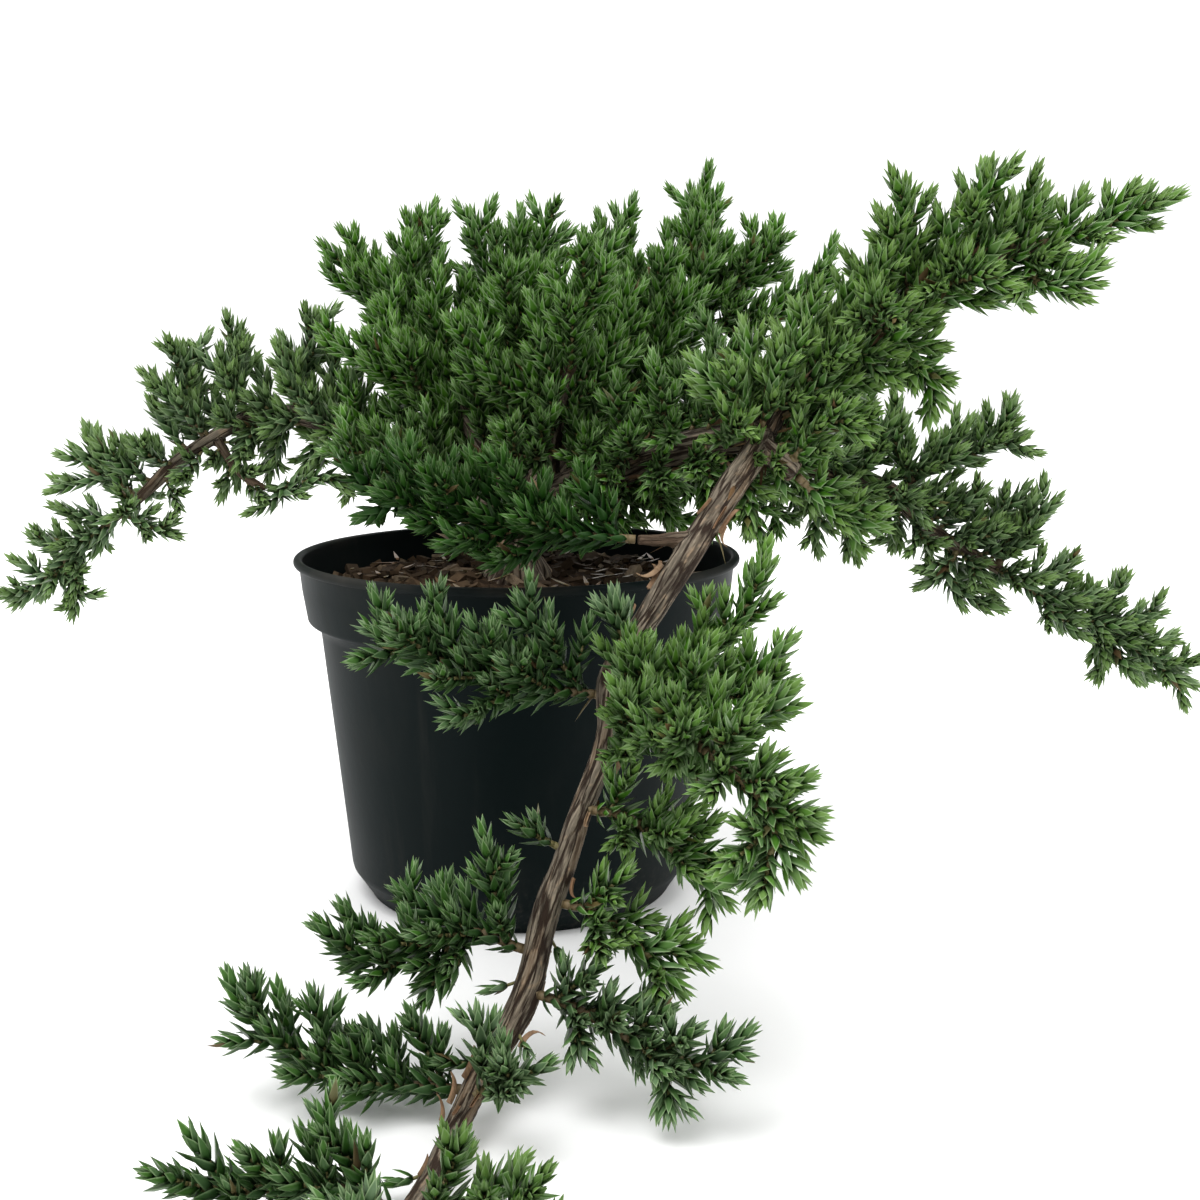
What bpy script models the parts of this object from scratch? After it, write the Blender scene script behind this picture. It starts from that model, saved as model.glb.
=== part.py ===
"""A young spreading juniper in a round nursery pot, with one limb that trails over the rim.

Lengths are in metres and +Z is up. The plant's front faces -Y, and +X is to its right. The origin is the
centre of the pot's flat underside, on the surface that the pot stands on. The trailing limb comes down to
that surface and lies along it.
"""

import math
import random

import bmesh
import bpy
from mathutils import Matrix, Vector

MM = 0.001

# The pot.
RIM_DIAMETER = 110 * MM
POT_HEIGHT = 85 * MM
BASE_DIAMETER = 77 * MM
POT_WALL = 1.2 * MM
POT_FLOOR = 1.6 * MM
RIM_BAND_HEIGHT = 15.5 * MM
RIM_BAND_TAPER = 3.3 * MM
RIM_STEP = 2.9 * MM
WALL_TAPER = 6.2 * MM
FOOT_HEIGHT = 7 * MM
LIP_RADIUS = 1.1 * MM
DRAIN_HOLES = 8
DRAIN_DIAMETER = 7 * MM
DRAIN_RING_DIAMETER = 56 * MM
TURN_STEPS = 32

# The soil.
SOIL_DROP = 9 * MM
SOIL_MOUND = 2.5 * MM

# The wood.
TRUNK_DIAMETER = 14 * MM
ROOT_DEPTH = 20 * MM

# The foliage. A shoot's tube is as thick as the leaves around it reach.
SHOOT_DIAMETER = 7.0 * MM
SHOOT_FOOT_DIAMETER = 4.6 * MM
SHOOT_TIP_DIAMETER = 3.2 * MM
STALK_DIAMETER = 1.8 * MM
SHOOT_ANGLE = math.radians(52)
GOLDEN_ANGLE = math.radians(137.5)
SHORTEST_SHOOT = 5 * MM
LOWEST_SHOOT = 0.24
HIGHEST_SHOOT = 0.8

# Clearances.
GAP = 0.3 * MM
LEAF_GAP = 0.5 * MM

# The pot that the routes below were taken in. They follow the rim when the pot's own sizes change.
ROUTE_RIM_RADIUS = 55 * MM
ROUTE_RIM_HEIGHT = 85 * MM

# Each limb's route from where it leaves its parent: X, Y, Z and the radius of the wood, in mm.
LIMBS = {
    "stem": [(0, 0, 86, 6.6), (3, 1, 95, 6.2), (7, 1, 103, 5.0)],
    "leaning_limb": [(5, 1, 97, 4.6), (22, -12, 106, 4.2), (40, -28, 113, 4.0), (57, -40, 117, 3.9)],
    "trailing_limb": [
        (57, -40, 117, 3.7), (54, -46, 112, 3.5), (43, -58, 97, 3.3), (34, -68, 84, 3.1), (25, -79, 71, 3.0),
        (24, -88, 59, 2.9), (18, -98, 45, 2.8), (14, -106, 34, 2.9), (10, -113, 20, 3.1), (4, -124, 10, 2.8),
        (-1, -140, 5.2, 2.4), (-4, -157, 3.6, 2.1), (-8, -172, 3.2, 1.7),
    ],
    "cut_stub": [(56, -43, 115, 3.2), (64, -46, 109, 2.8)],
    "dead_twig": [(43, -58, 97, 1.8), (35, -62, 96.5, 1.5), (30, -64, 97, 1.2)],
    "rising_limb": [(57, -40, 117, 3.5), (64, -38, 127, 3.1), (81, -35, 140, 2.7), (101, -32, 152, 2.2),
                    (117, -32, 158, 1.6)],
    "left_limb": [(1, 0, 90, 4.4), (-18, 6, 98, 3.8), (-33, 24, 106, 3.4), (-66, 37, 117, 2.8),
                  (-90, 34, 107, 2.2), (-107, 31, 92, 1.6)],
    "left_twig": [(-84, 35, 110.5, 1.6), (-77, 33, 101, 1.3), (-70, 32, 97, 1.0)],
    "right_limb": [(4, 2, 96, 4.4), (24, 14, 103, 3.8), (50, 23, 107, 3.4), (90, 28, 100, 2.7),
                   (106, 27, 88, 2.2), (128, 29, 75, 1.6)],
    "crown_left": [(3, 2, 96, 4.0), (-12, 14, 113, 3.0), (-24, 28, 130, 2.2), (-30, 36, 142, 1.5)],
    "crown_middle": [(6, 2, 100, 4.0), (4, 22, 122, 2.8), (-2, 38, 136, 2.1), (-4, 46, 146, 1.5)],
    "crown_right": [(6, 2, 100, 4.0), (24, 26, 122, 2.8), (36, 42, 136, 2.1), (44, 52, 148, 1.5)],
    "crown_front": [(7, 1, 102, 4.0), (10, -6, 118, 2.6), (14, -11, 132, 1.6)],
    "back_limb": [(2, 2, 93, 4.2), (-2, 22, 102, 3.2), (-6, 44, 106, 2.6), (-9, 66, 101, 1.8)],
}

# Each spray: its leader's points past the bark in mm, its side shoots and how long the longest is in mm.
SPRAYS = {
    "trail_left_rim": ([(16, -63, 98), (-10, -57, 101), (-32, -51, 107)], 6, 20),
    "trail_left_high": ([(4, -84, 71), (-12, -85, 77), (-25, -84, 83)], 5, 18),
    "trail_left_tuft": ([(9, -103, 47), (5, -104, 50)], 1, 5),
    "trail_left_middle": ([(-1, -110, 29), (-14, -112, 24.5), (-28, -111, 26)], 5, 17),
    "trail_left_low": ([(-16, -124, 6), (-31, -122, 10), (-45, -119, 20)], 5, 15),
    "trail_left_end": ([(-20, -160, 6.5), (-32, -163, 7), (-44, -166, 10)], 4, 15),
    "trail_front_tuft": ([(27, -83, 80), (25, -83, 91)], 3, 8),
    "trail_right_upright": ([(36, -85, 70), (48, -86, 82), (57, -85, 97)], 6, 14),
    "trail_right_high": ([(34, -96, 72), (47, -104, 74), (60, -108, 77)], 5, 16),
    "trail_right_near": ([(35, -107, 67), (43, -125, 68), (53, -137, 60), (49, -142, 46)], 6, 18),
    "trail_right_middle": ([(28, -101, 49), (38, -108, 44), (48, -110, 34)], 5, 14),
    "trail_right_low": ([(22, -109, 33), (31, -114, 28), (40, -116, 19)], 4, 13),
    "trail_right_ground": ([(19, -118, 18), (32, -125, 14), (49, -132, 11)], 6, 14),
    "trail_front_ground": ([(7, -136, 13), (12, -146, 16)], 4, 12),
    "trail_right_end": ([(7, -168, 8), (17, -180, 9), (25, -192, 10)], 5, 13),
    "trail_tip": ([(-10, -182, 5), (-14, -198, 7)], 5, 14),
    "rising_tip": ([(131, -33, 162), (148, -35, 169)], 5, 12),
    "rising_top": ([(103, -33, 164), (107, -34, 177)], 5, 12),
    "rising_upright": ([(87, -34, 154), (88, -34, 173)], 5, 13),
    "rising_outer_front": ([(98, -44, 150), (104, -56, 152)], 4, 12),
    "rising_front": ([(80, -46, 142), (81, -60, 147)], 4, 13),
    "rising_under": ([(117, -41, 149), (130, -44, 154)], 4, 12),
    "rising_back": ([(84, -22, 144), (88, -8, 150)], 4, 13),
    "rising_lower": ([(90, -36, 134), (98, -37, 122)], 4, 13),
    "rising_droop": ([(70, -42, 103), (78, -41, 98), (87, -39, 96)], 5, 13),
    "rising_inner": ([(50, -46, 126), (40, -48, 130)], 4, 11),
    "rising_base_front": ([(69, -50, 120), (77, -58, 121)], 4, 11),
    "right_tip": ([(143, 32, 66), (160, 32, 57), (181, 31, 44)], 6, 20),
    "right_upright": ([(104, 26, 103), (117, 26, 108), (131, 26, 113)], 5, 16),
    "right_upper": ([(130, 27, 86), (141, 27, 97)], 4, 13),
    "right_under": ([(111, 25, 76), (116, 22, 66)], 4, 11),
    "right_back": ([(82, 38, 100), (92, 52, 94)], 4, 14),
    "left_tip": ([(-118, 29, 83), (-128, 27, 74), (-139, 25, 65)], 6, 17),
    "left_tip_upper": ([(-112, 30, 102), (-122, 29, 109)], 4, 11),
    "left_outer": ([(-92, 34, 118), (-91, 34, 137)], 4, 12),
    "left_upright": ([(-80, 36, 126), (-76, 37, 142)], 4, 12),
    "left_inner": ([(-60, 36, 128), (-55, 36, 145)], 4, 12),
    "left_under": ([(-62, 32, 96), (-56, 31, 101)], 2, 7),
    "left_back": ([(-58, 48, 114), (-66, 62, 112)], 4, 14),
    "crown_left_outer": ([(-41, 40, 145), (-52, 44, 161)], 5, 14),
    "crown_left_top": ([(-30, 42, 155), (-31, 47, 170)], 4, 13),
    "crown_left_side": ([(-26, 12, 124), (-40, 8, 138)], 5, 16),
    "crown_middle_top": ([(-5, 52, 158), (-4, 57, 172)], 4, 14),
    "crown_middle_front": ([(1, 14, 134), (-5, 6, 150)], 5, 16),
    "crown_right_inner": ([(22, 48, 150), (24, 62, 173)], 5, 16),
    "crown_right_top": ([(46, 60, 162), (47, 70, 180)], 5, 14),
    "crown_right_outer": ([(56, 46, 150), (70, 48, 165)], 5, 16),
    "crown_right_low": ([(57, 38, 139), (72, 36, 147), (82, 35, 155)], 5, 14),
    "crown_front_top": ([(16, -16, 144), (20, -20, 159)], 5, 16),
    "crown_front_left": ([(-4, -10, 126), (-14, -12, 140)], 5, 14),
    "low_front": ([(6, -14, 109), (-4, -27, 113)], 4, 14),
    "low_left": ([(-28, -6, 106), (-44, -12, 114)], 5, 16),
    "inner_right": ([(46, 10, 122), (54, 2, 138)], 5, 16),
    "inner_under": ([(36, -22, 99), (42, -18, 91)], 4, 12),
    "back_tip": ([(-11, 80, 95), (-14, 94, 86)], 5, 17),
    "back_right": ([(8, 60, 112), (20, 74, 116)], 4, 16),
    "back_left": ([(-22, 56, 112), (-34, 68, 114)], 4, 16),
}

rim_radius = RIM_DIAMETER / 2
base_radius = BASE_DIAMETER / 2
band_radius = rim_radius - RIM_BAND_TAPER
wall_top_radius = band_radius - RIM_STEP
foot_radius = wall_top_radius - WALL_TAPER
soil_level = POT_HEIGHT - SOIL_DROP


def clear_scene():
    for item in list(bpy.data.objects):
        bpy.data.objects.remove(item, do_unlink=True)


def new_collection(name, hidden=False):
    collection = bpy.data.collections.new(name)
    bpy.context.scene.collection.children.link(collection)
    collection.hide_render = hidden
    return collection


def plain_material(name, colour, roughness, metallic=0.0):
    material = bpy.data.materials.new(name)
    material.use_nodes = True
    shader = material.node_tree.nodes["Principled BSDF"]
    shader.inputs["Base Color"].default_value = (*colour, 1.0)
    shader.inputs["Roughness"].default_value = roughness
    shader.inputs["Metallic"].default_value = metallic
    return material


def mesh_object(name, mesh, collection, material=None):
    item = bpy.data.objects.new(name, mesh)
    collection.objects.link(item)
    if material:
        mesh.materials.append(material)
    return item


def shade_round(item, angle=math.radians(40)):
    item.data.shade_smooth()
    item.data.set_sharp_from_angle(angle=angle)


def evaluated_mesh(item):
    depsgraph = bpy.context.evaluated_depsgraph_get()
    return bpy.data.meshes.new_from_object(item.evaluated_get(depsgraph))


def turned(name, profile, collection, material):
    """A profile of (radius, height) points turned about Z, from the axis up, over and down its outer side."""
    mesh = bpy.data.meshes.new(name)
    verts = [(radius, 0.0, height) for radius, height in profile]
    mesh.from_pydata(verts, [(i, i + 1) for i in range(len(verts) - 1)], [])
    item = mesh_object(name, mesh, collection, material)
    screw = item.modifiers.new("turn", "SCREW")
    screw.axis = "Z"
    screw.steps = screw.render_steps = TURN_STEPS
    screw.use_merge_vertices = True
    screw.merge_threshold = 0.00001
    screw.use_smooth_shade = True
    return item


def arc(centre_radius, centre_height, radius, start, end, points):
    """Points of a round stretch of a profile, with angles in degrees up from +X."""
    angles = [math.radians(start + (end - start) * i / (points - 1)) for i in range(points)]
    return [(centre_radius + radius * math.cos(a), centre_height + radius * math.sin(a)) for a in angles]


def tube(name, points, radii, collection, sides_level):
    """A closed tapered tube along straight stretches, as a mesh object."""
    curve = bpy.data.curves.new(name, "CURVE")
    curve.dimensions = "3D"
    curve.bevel_depth = 1.0
    curve.bevel_resolution = sides_level
    curve.use_fill_caps = True
    spline = curve.splines.new("POLY")
    spline.points.add(len(points) - 1)
    for point, place, radius in zip(spline.points, points, radii):
        point.co = (*place, 1.0)
        point.radius = radius
    guide = bpy.data.objects.new(name + "_curve", curve)
    collection.objects.link(guide)
    mesh = evaluated_mesh(guide)
    item = mesh_object(name, mesh, collection)
    item.matrix_world = guide.matrix_world
    bpy.data.objects.remove(guide, do_unlink=True)
    shape = bmesh.new()
    shape.from_mesh(mesh)
    bmesh.ops.remove_doubles(shape, verts=shape.verts, dist=0.000001)
    shape.to_mesh(mesh)
    shape.free()
    return item


def united(name, tubes, collection, material):
    """One closed solid from tubes that run into each other."""
    first, *others = tubes
    if others:
        joining = bpy.data.collections.new(name + "_joining")
        for item in others:
            joining.objects.link(item)
        union = first.modifiers.new("join", "BOOLEAN")
        union.operation = "UNION"
        union.solver = "EXACT"
        union.operand_type = "COLLECTION"
        union.collection = joining
        bpy.context.view_layer.update()
    mesh = evaluated_mesh(first)
    mesh.name = name
    mesh.materials.clear()
    for item in tubes:
        bpy.data.objects.remove(item, do_unlink=True)
    if others:
        bpy.data.collections.remove(joining)
    item = mesh_object(name, mesh, collection, material)
    shade_round(item)
    return item


def at_rim(x, y, z):
    """A route's point in metres, carried by the rim: outwards with it, and down in step below it."""
    point = Vector((x, y, z)) * MM
    reach = point.xy.length
    if reach > 0:
        share = min(reach / ROUTE_RIM_RADIUS, 1.0)
        point.xy *= (reach + (rim_radius - ROUTE_RIM_RADIUS) * share) / reach
    if point.z >= ROUTE_RIM_HEIGHT:
        point.z += POT_HEIGHT - ROUTE_RIM_HEIGHT
    else:
        point.z *= POT_HEIGHT / ROUTE_RIM_HEIGHT
    return point


def segment_gap(first, second):
    """The clearance between two round tapered stretches, each (start, start radius, end, end radius)."""
    a, radius_a, b, radius_b = first
    c, radius_c, d, radius_d = second
    u, v, w = b - a, d - c, a - c
    uu, uv, vv, uw, vw = u.dot(u), u.dot(v), v.dot(v), u.dot(w), v.dot(w)
    spread = uu * vv - uv * uv
    s = (uv * vw - vv * uw) / spread if spread > 1e-18 else 0.0
    s = min(max(s, 0.0), 1.0)
    t = min(max((uv * s + vw) / vv, 0.0), 1.0)
    s = min(max((uv * t - uw) / uu, 0.0), 1.0)
    distance = (w + u * s - v * t).length
    return distance - radius_a - (radius_b - radius_a) * s - radius_c - (radius_d - radius_c) * t


def stretches(points, radii):
    return list(zip(points, radii, points[1:], radii[1:]))


def clear_of_pot(stretch):
    """True where a stretch stays above the rim, outside the pot or over its soil, and off the ground."""
    start, start_radius, end, end_radius = stretch
    for i in range(5):
        point = start.lerp(end, i / 4)
        room = start_radius + (end_radius - start_radius) * i / 4 + LEAF_GAP
        outside = point.xy.length > rim_radius + room
        above = point.z > POT_HEIGHT + room
        within = point.xy.length < rim_radius - POT_WALL - room and point.z > soil_level + SOIL_MOUND + room
        if not (outside or above or within) or point.z < room:
            return False
    return True


def wood_routes():
    """Each limb's points and radii, the trunk's first stretch running down into the soil."""
    routes = {}
    for name, route in LIMBS.items():
        points = [at_rim(x, y, z) for x, y, z, _ in route]
        routes[name] = (points, [radius * MM for *_, radius in route])
    trunk_radius = TRUNK_DIAMETER / 2
    points, radii = routes["stem"]
    root = Vector((0.0, 0.0, soil_level - ROOT_DEPTH))
    collar = Vector((0.0, 0.0, soil_level + SOIL_MOUND + GAP))
    routes["stem"] = ([root, collar] + points, [trunk_radius, trunk_radius] + radii)
    return routes


def nearest_on(stretch, place):
    start, start_radius, end, end_radius = stretch
    along = end - start
    share = min(max((place - start).dot(along) / along.dot(along), 0.0), 1.0)
    return start + along * share, start_radius + (end_radius - start_radius) * share


def leader_route(points, wood):
    """A leader from just off the nearest bark: a bare stalk that soon bears leaves, thinner at its tip."""
    places = [at_rim(*point) for point in points]
    feet = [nearest_on(stretch, places[0]) for stretch in wood]
    foot, bark = min(feet, key=lambda found: (found[0] - places[0]).length - found[1])
    outward = (places[0] - foot).normalized()
    start = foot + outward * (bark + GAP)
    leafy = [SHOOT_DIAMETER / 2] * (len(places) - 1)
    radii = [STALK_DIAMETER / 2, *leafy, SHOOT_TIP_DIAMETER / 2]
    return [start, *places], radii


def place_along(points, share):
    """The point at a share of a route's length, and the direction there."""
    lengths = [(b - a).length for a, b in zip(points, points[1:])]
    left = share * sum(lengths)
    for a, b, length in zip(points, points[1:], lengths):
        if left <= length or b is points[-1]:
            return a.lerp(b, min(left / length, 1.0)), (b - a).normalized()
        left -= length


def shoot_directions(leader, count, chance):
    """Where each side shoot leaves its leader and which way: turned by the golden angle, more of them above."""
    for i in range(count):
        share = LOWEST_SHOOT + (HIGHEST_SHOOT - LOWEST_SHOOT) * i / max(count - 1, 1)
        foot, along = place_along(leader, share)
        upward = Vector((0.0, 0.0, 1.0)) - along * along.z
        reference = upward if upward.length > 0.5 else Vector((0.0, -1.0, 0.0)) + along * along.y
        reference.normalize()
        turn = (i * GOLDEN_ANGLE + math.pi) % (2 * math.pi) - math.pi
        turn = turn * (0.75 if upward.length > 0.5 else 1.0) + chance.uniform(-0.2, 0.2)
        across = Matrix.Rotation(turn, 3, along) @ reference
        yield foot, along * math.cos(SHOOT_ANGLE) + across * math.sin(SHOOT_ANGLE), share


def side_shoots(name, leader, count, longest, others):
    """The side shoots that have room, each shortened where it would meet another piece."""
    chance = random.Random(name)
    shoots = []
    for foot, direction, share in shoot_directions(leader, count, chance):
        length = longest * MM * (1.0 - 0.4 * share) * chance.uniform(0.85, 1.1)
        while length >= SHORTEST_SHOOT:
            stretch = (foot, SHOOT_FOOT_DIAMETER / 2, foot + direction * length, SHOOT_TIP_DIAMETER / 2)
            if clear_of_pot(stretch) and all(segment_gap(stretch, other) > LEAF_GAP for other in others):
                shoots.append(stretch)
                break
            length *= 0.85
    return shoots


def build_pot(parts, cutters):
    lip = rim_radius - LIP_RADIUS
    band_bottom = POT_HEIGHT - RIM_BAND_HEIGHT
    step_height = RIM_STEP * 0.8
    outer = arc(lip, POT_HEIGHT - LIP_RADIUS, LIP_RADIUS, 90, 0, 5)
    outer += [(band_radius + 0.5 * MM, band_bottom + 1.2 * MM), (band_radius - 0.3 * MM, band_bottom)]
    outer += [(wall_top_radius + 0.2 * MM, band_bottom - step_height), (foot_radius, FOOT_HEIGHT)]
    outer += [(base_radius + 0.8 * MM, 0.8 * MM), (base_radius, 0.0), (0.0, 0.0)]
    inner = [(0.0, POT_FLOOR), (base_radius - POT_WALL, POT_FLOOR), (foot_radius - POT_WALL, FOOT_HEIGHT)]
    inner += [(wall_top_radius - POT_WALL, band_bottom - step_height)]
    inner += [(band_radius - POT_WALL - 0.3 * MM, band_bottom + 0.6 * MM)]
    inner += arc(lip, POT_HEIGHT - LIP_RADIUS, LIP_RADIUS, 180, 120, 3)
    colour = (0.014, 0.017, 0.022)
    pot = turned("nursery_pot", inner + outer, parts, plain_material("pot_plastic", colour, 0.45))

    for i in range(DRAIN_HOLES):
        bpy.ops.mesh.primitive_cylinder_add(vertices=16, radius=DRAIN_DIAMETER / 2, depth=4 * POT_FLOOR)
        cutter = bpy.context.object
        cutter.name = f"drain_cutter_{i + 1}"
        turn = 2 * math.pi * i / DRAIN_HOLES
        ring = DRAIN_RING_DIAMETER / 2
        cutter.location = (ring * math.cos(turn), ring * math.sin(turn), POT_FLOOR / 2)
        cutter.display_type = "WIRE"
        cutter.hide_render = True
        cutter.users_collection[0].objects.unlink(cutter)
        cutters.objects.link(cutter)
    holes = pot.modifiers.new("drain_holes", "BOOLEAN")
    holes.operation = "DIFFERENCE"
    holes.solver = "EXACT"
    holes.operand_type = "COLLECTION"
    holes.collection = cutters
    return pot


def inner_radius(height):
    """The pot's inner radius at a height between its foot and its rim band."""
    top = POT_HEIGHT - RIM_BAND_HEIGHT - RIM_STEP * 0.8
    share = (height - FOOT_HEIGHT) / (top - FOOT_HEIGHT)
    return foot_radius - POT_WALL + WALL_TAPER * share


def build_soil(parts):
    hole = TRUNK_DIAMETER / 2 + GAP
    hole_bottom = soil_level - ROOT_DEPTH - GAP
    wall_top = POT_HEIGHT - RIM_BAND_HEIGHT - RIM_STEP * 0.8
    low = POT_FLOOR + GAP
    crown = [hole, 0.35 * wall_top_radius, 0.6 * wall_top_radius, 0.82 * wall_top_radius]
    profile = [(0.0, hole_bottom), (hole, hole_bottom)]
    profile += [(radius, soil_level + SOIL_MOUND * math.cos(0.5 * math.pi * i / len(crown)))
                for i, radius in enumerate(crown)]
    profile += [(wall_top_radius - POT_WALL - 2 * GAP, soil_level)]
    profile += [(inner_radius(wall_top) - 2 * GAP, wall_top), (foot_radius - POT_WALL - 2 * GAP, FOOT_HEIGHT)]
    profile += [(base_radius - POT_WALL - 2 * GAP, low), (0.0, low)]
    return turned("potting_soil", profile, parts, plain_material("soil", (0.055, 0.036, 0.022), 0.95))


def build_wood(parts, scratch, routes):
    tubes = []
    for name, (points, radii) in routes.items():
        level = 2 if name in ("stem", "trailing_limb", "leaning_limb") else 1
        tubes.append(tube(name, points, radii, scratch, level))
    return united("juniper_wood", tubes, parts, plain_material("bark", (0.17, 0.12, 0.085), 0.9))


def build_sprays(parts, scratch, wood):
    leaders = {name: leader_route(points, wood) for name, (points, _, _) in SPRAYS.items()}
    solids = {name: stretches(*route) for name, route in leaders.items()}
    for name, (_, count, longest) in SPRAYS.items():
        others = wood + [piece for other, found in solids.items() if other != name for piece in found]
        solids[name] += side_shoots(name, leaders[name][0], count, longest, others)
    for name, (points, radii) in leaders.items():
        tubes = [tube(name + "_leader", points, radii, scratch, 1)]
        for i, (start, start_radius, end, end_radius) in enumerate(solids[name][len(points) - 1:]):
            tubes.append(tube(f"{name}_shoot_{i}", [start, end], [start_radius, end_radius], scratch, 1))
        leaf_green = plain_material(name + "_leaves", (0.035, 0.11, 0.04), 0.55)
        united("spray_" + name, tubes, parts, leaf_green)


def main():
    clear_scene()
    parts = new_collection("juniper_in_pot")
    cutters = new_collection("cutters", hidden=True)
    scratch = new_collection("being_joined")
    routes = wood_routes()
    wood = [piece for points, radii in routes.values() for piece in stretches(points, radii)]
    build_wood(parts, scratch, routes)
    build_sprays(parts, scratch, wood)
    build_pot(parts, cutters)
    build_soil(parts)
    bpy.data.collections.remove(scratch)


main()
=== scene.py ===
"""Models a young spreading juniper in a round nursery pot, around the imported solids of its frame.

The file is laid out as an add-on, with one operator for each piece or group of like pieces. Lengths are in
metres and +Z is up. The plant's front faces -Y, and the origin is the centre of the pot's flat underside.
"""

import math
import random

import bpy
import numpy as np
from bpy.props import FloatProperty, FloatVectorProperty, IntProperty, PointerProperty
from mathutils import Matrix, Vector, kdtree, noise


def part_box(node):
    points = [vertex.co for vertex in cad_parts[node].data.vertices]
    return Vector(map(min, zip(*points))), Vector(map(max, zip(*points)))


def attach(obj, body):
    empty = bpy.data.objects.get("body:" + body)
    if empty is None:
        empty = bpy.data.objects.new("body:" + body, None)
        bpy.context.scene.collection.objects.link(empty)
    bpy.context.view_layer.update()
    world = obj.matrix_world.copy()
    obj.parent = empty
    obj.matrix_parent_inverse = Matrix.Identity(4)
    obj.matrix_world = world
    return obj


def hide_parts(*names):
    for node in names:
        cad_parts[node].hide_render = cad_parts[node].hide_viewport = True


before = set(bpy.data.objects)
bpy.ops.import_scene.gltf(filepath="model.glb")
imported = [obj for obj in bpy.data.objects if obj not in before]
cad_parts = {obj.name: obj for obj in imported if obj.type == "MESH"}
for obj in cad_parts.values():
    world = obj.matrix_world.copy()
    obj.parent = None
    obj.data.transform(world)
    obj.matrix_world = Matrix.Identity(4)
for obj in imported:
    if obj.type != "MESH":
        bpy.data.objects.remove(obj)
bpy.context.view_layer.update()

bl_info = {
    "name": "Potted juniper",
    "version": (1, 0, 0),
    "blender": (4, 5, 0),
    "location": "View3D > Sidebar > Juniper",
    "description": "Models a young spreading juniper in a nursery pot",
    "category": "Object",
}

MM = 0.001
UP = Vector((0.0, 0.0, 1.0))
GOLDEN_ANGLE = math.radians(137.5)

POT_LOW, POT_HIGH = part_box("nursery_pot")
SOIL_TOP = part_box("potting_soil")[1].z

# Each limb's route from where it leaves its parent: X, Y, Z and the radius of the wood, in mm.
LIMBS = {
    "stem": [(0, 0, 56, 7.0), (0, 0, 78.8, 7.0), (0, 0, 86, 6.6), (3, 1, 95, 6.2), (7, 1, 103, 5.0)],
    "leaning_limb": [(5, 1, 97, 4.6), (22, -12, 106, 4.2), (40, -28, 113, 4.0), (57, -40, 117, 3.9)],
    "trailing_limb": [
        (57, -40, 117, 3.7), (54, -46, 112, 3.5), (43, -58, 97, 3.3), (34, -68, 84, 3.1), (25, -79, 71, 3.0),
        (24, -88, 59, 2.9), (18, -98, 45, 2.8), (14, -106, 34, 2.9), (10, -113, 20, 3.1), (4, -124, 10, 2.8),
        (-1, -140, 5.2, 2.4), (-4, -157, 3.6, 2.1), (-8, -172, 3.2, 1.7),
    ],
    "cut_stub": [(56, -43, 115, 3.2), (64, -46, 109, 2.8)],
    "dead_twig": [(43, -58, 97, 1.8), (35, -62, 96.5, 1.5), (30, -64, 97, 1.2)],
    "rising_limb": [(57, -40, 117, 3.5), (64, -38, 127, 3.1), (81, -35, 140, 2.7), (101, -32, 152, 2.2),
                    (117, -32, 158, 1.6)],
    "left_limb": [(1, 0, 90, 4.4), (-18, 6, 98, 3.8), (-33, 24, 106, 3.4), (-66, 37, 117, 2.8),
                  (-90, 34, 107, 2.2), (-107, 31, 92, 1.6)],
    "left_twig": [(-84, 35, 110.5, 1.6), (-77, 33, 101, 1.3), (-70, 32, 97, 1.0)],
    "right_limb": [(4, 2, 96, 4.4), (24, 14, 103, 3.8), (50, 23, 107, 3.4), (90, 28, 100, 2.7),
                   (106, 27, 88, 2.2), (128, 29, 75, 1.6)],
    "crown_left": [(3, 2, 96, 4.0), (-12, 14, 113, 3.0), (-24, 28, 130, 2.2), (-30, 36, 142, 1.5)],
    "crown_middle": [(6, 2, 100, 4.0), (4, 22, 122, 2.8), (-2, 38, 136, 2.1), (-4, 46, 146, 1.5)],
    "crown_right": [(6, 2, 100, 4.0), (24, 26, 122, 2.8), (36, 42, 136, 2.1), (44, 52, 148, 1.5)],
    "crown_front": [(7, 1, 102, 4.0), (10, -6, 118, 2.6), (14, -11, 132, 1.6)],
    "back_limb": [(2, 2, 93, 4.2), (-2, 22, 102, 3.2), (-6, 44, 106, 2.6), (-9, 66, 101, 1.8)],
}

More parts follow.
